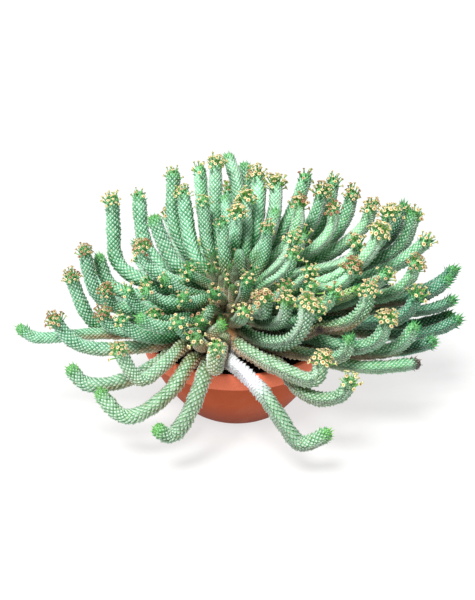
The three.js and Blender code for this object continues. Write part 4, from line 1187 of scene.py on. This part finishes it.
sprouts = {"overlap": 4, "tips": ["budding", "bare"], "pieces": 6, "plans": [
    {"tries": 1100, "widest": 42, "upright": 0.8, "long": (36, 70), "radius": (5.4, 7), "free": 26},
    {"tries": 1400, "widest": 64, "upright": 0.4, "long": (22, 54), "radius": (5.2, 7), "free": 12},
]}


def growSprouts():
    # the youngest arms, short and crowded on the caudex, where they fit between the others
    chance = random.Random(17)
    places = np.concatenate([one["line"] for one in arms])
    wide = np.concatenate([
        np.maximum(one["radii"], armLook["rootShare"] * one["halfThick"]) for one in arms])
    grown = []
    for plan in sprouts["plans"]:
        for turn in range(plan["tries"]):
            lean = math.radians(chance.uniform(0, plan["widest"]))
            around = chance.uniform(0, 2 * math.pi)
            toward = np.array([
                math.sin(lean) * math.cos(around), math.sin(lean) * math.sin(around), math.cos(lean)])
            root = onCaudex(caudex["middle"] + toward)
            direction = outOfCaudex(root) + np.array([0, 0, plan["upright"]])
            direction /= np.linalg.norm(direction)
            long = chance.uniform(*plan["long"])
            thick = chance.uniform(*plan["radius"])
            tip = chance.choice(sprouts["tips"])
            line = evenly(np.array([root, root + direction * long]), sprouts["pieces"])
            above = line[lengths(line - root) > plan["free"]]
            room = (lengths(above[:, None] - places[None]) - wide[None]).min()
            if room < thick - sprouts["overlap"]:
                continue
            places = np.concatenate([places, line])
            wide = np.concatenate([wide, np.full(len(line), thick)])
            grown.append({
                "node": "caudex", "group": -1, "fork": 0, "tip": tip, "halfThick": thick, "line": line,
                "step": long / sprouts["pieces"], "radii": np.full(len(line), thick)})
    print("short arms grown:", len(grown))
    return grown


def buildArms():
    byNode = {}
    every = arms + growSprouts()
    neighbours = (
        np.concatenate([one["line"] for one in every]), np.concatenate([one["radii"] for one in every]),
        np.concatenate([np.full(len(one["line"]), id(one)) for one in every]))
    for number, one in enumerate(every):
        chance = random.Random(1000 + number)
        skinCopy, tip = bendSkin(one, neighbours, chance)
        byNode.setdefault(one["node"], []).extend([skinCopy] + dressTip(one, tip, chance))
    total = 0
    for node, parts in byNode.items():
        name = "young_arms" if node == "caudex" else node + "_grown"
        piece = joinedPiece(name, parts, plantMaterials)
        total += len(piece.data.polygons)
        if node == "caudex":
            print("young arms:", len(piece.data.polygons), "triangles")
        else:
            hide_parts(node)
    print("arms:", len(byNode), "pieces,", total, "triangles")


buildArms()


def buildCaudex():
    rings = [(1, caudex["rootBottom"]), (caudex["rootRadius"], caudex["rootBottom"])]
    lowest = caudex["lowestTurn"]
    for step in range(1, caudex["rings"]):
        angle = math.pi * (lowest + (0.5 - lowest) * step / caudex["rings"])
        height = caudex["middle"][2] + caudex["rise"] * math.sin(angle)
        rings.append((caudex["radius"] * math.cos(angle), height))
    piece = turnedPiece(rings, caudex["sides"], "point")
    piece.location.x = caudex["middle"][0] * mm
    bpy.ops.object.transform_apply(location=True)
    displace(piece, caudex["lumpSize"], caudex["lumpHeight"])
    finishPiece(piece, "caudex_bark", [corkyBark])
    bpy.ops.object.shade_smooth()
    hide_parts("caudex")
    print("caudex turned and roughened")


def wallRings(low, high, bottom, top, steps):  # a bulging wall, from bottom to top
    rings = []
    for step in range(steps + 1):
        t = step / steps
        bulge = pot["bulge"] * math.sin(math.pi * t)
        rings.append((low + (high - low) * t + bulge, bottom + (top - bottom) * t))
    return rings


def edgeRings(edge, radius, height):  # an edge's corners, measured from that radius and height
    return [(radius + out, height + up) for out, up in edge]


def potRings():
    rim, height, wall, base = pot["rimRadius"], pot["height"], pot["wall"], pot["baseRadius"]
    bandBottom = height - pot["bandHeight"]
    rings = edgeRings(pot["foot"], base, 0)
    rings += wallRings(base, rim - pot["bandStep"], 0, bandBottom, pot["outerRings"])[1:]
    rings += edgeRings(pot["bandEdge"], rim, bandBottom)
    rings += edgeRings(pot["lipOutside"], rim, height)
    rings += edgeRings(pot["lipInside"], rim - wall, height)
    inside = wallRings(base - wall, rim - wall, pot["floor"], bandBottom, pot["innerRings"])
    return rings + inside[::-1]


def buildPot():
    piece = turnedPiece(potRings(), pot["sides"], "flat")
    for k in range(pot["drainHoles"]):
        angle = 2 * math.pi * (k + 0.5) / pot["drainHoles"]
        reach = pot["drainReach"] * mm
        deselectAll()
        bpy.ops.mesh.primitive_cylinder_add(
            vertices=pot["drillSides"], radius=pot["drainRadius"] * mm, depth=pot["drillLength"] * mm,
            location=(reach * math.sin(angle), reach * math.cos(angle), 0))
        drill = bpy.context.object
        cut = piece.modifiers.new("drain", "BOOLEAN")
        cut.operation = "DIFFERENCE"
        cut.object = drill
        bpy.context.view_layer.objects.active = piece
        bpy.ops.object.modifier_apply(modifier=cut.name)
        bpy.data.objects.remove(drill)
    deselectAll()
    piece.select_set(True)
    bpy.context.view_layer.objects.active = piece
    bpy.ops.object.shade_smooth_by_angle(angle=math.radians(pot["sharpAbove"]))
    finishPiece(piece, "pot_thrown", [terracotta])
    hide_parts("pot")
    print("pot thrown and drilled")


def buildSoil():
    chance = random.Random(71)
    reach = pot["rimRadius"] - pot["wall"] - soil["wallClear"]
    deselectAll()
    bpy.ops.mesh.primitive_ico_sphere_add(subdivisions=1, radius=1)
    lump = bpy.context.object
    editOnly(lump)
    lumpPoints, lumpFaces = takeMesh(lump)
    parts = []
    for k in range(soil["crumbs"]):
        angle = chance.uniform(0, 2 * math.pi)
        out = reach * math.sqrt(chance.uniform(soil["inner"], 1)) - soil["outermost"]
        size = chance.choice(soil["crumbSizes"]) * chance.uniform(*soil["sizeSpread"])
        height = soil["top"] - soil["sunk"] + soil["lift"] * size
        place = np.array([out * math.cos(angle), out * math.sin(angle), height])
        wide = soil["crumbWidths"]
        squash = [chance.uniform(*spread) for spread in (wide, wide, soil["crumbHeights"])]
        direction = np.array([chance.uniform(-1, 1), chance.uniform(-1, 1), soil["crumbUpright"]])
        points = stand(lumpPoints * squash, place, direction, chance.uniform(*anySpin), size)
        parts.append((points, lumpFaces, 0, np.ones((len(points), 4)), np.zeros(len(points))))
    joinedPiece("soil_crumbs", parts, [pottingSoil])
    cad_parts["soil"].data.materials.clear()
    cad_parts["soil"].data.materials.append(pottingSoil)
    print("soil laid")


buildCaudex()
buildPot()
buildSoil()
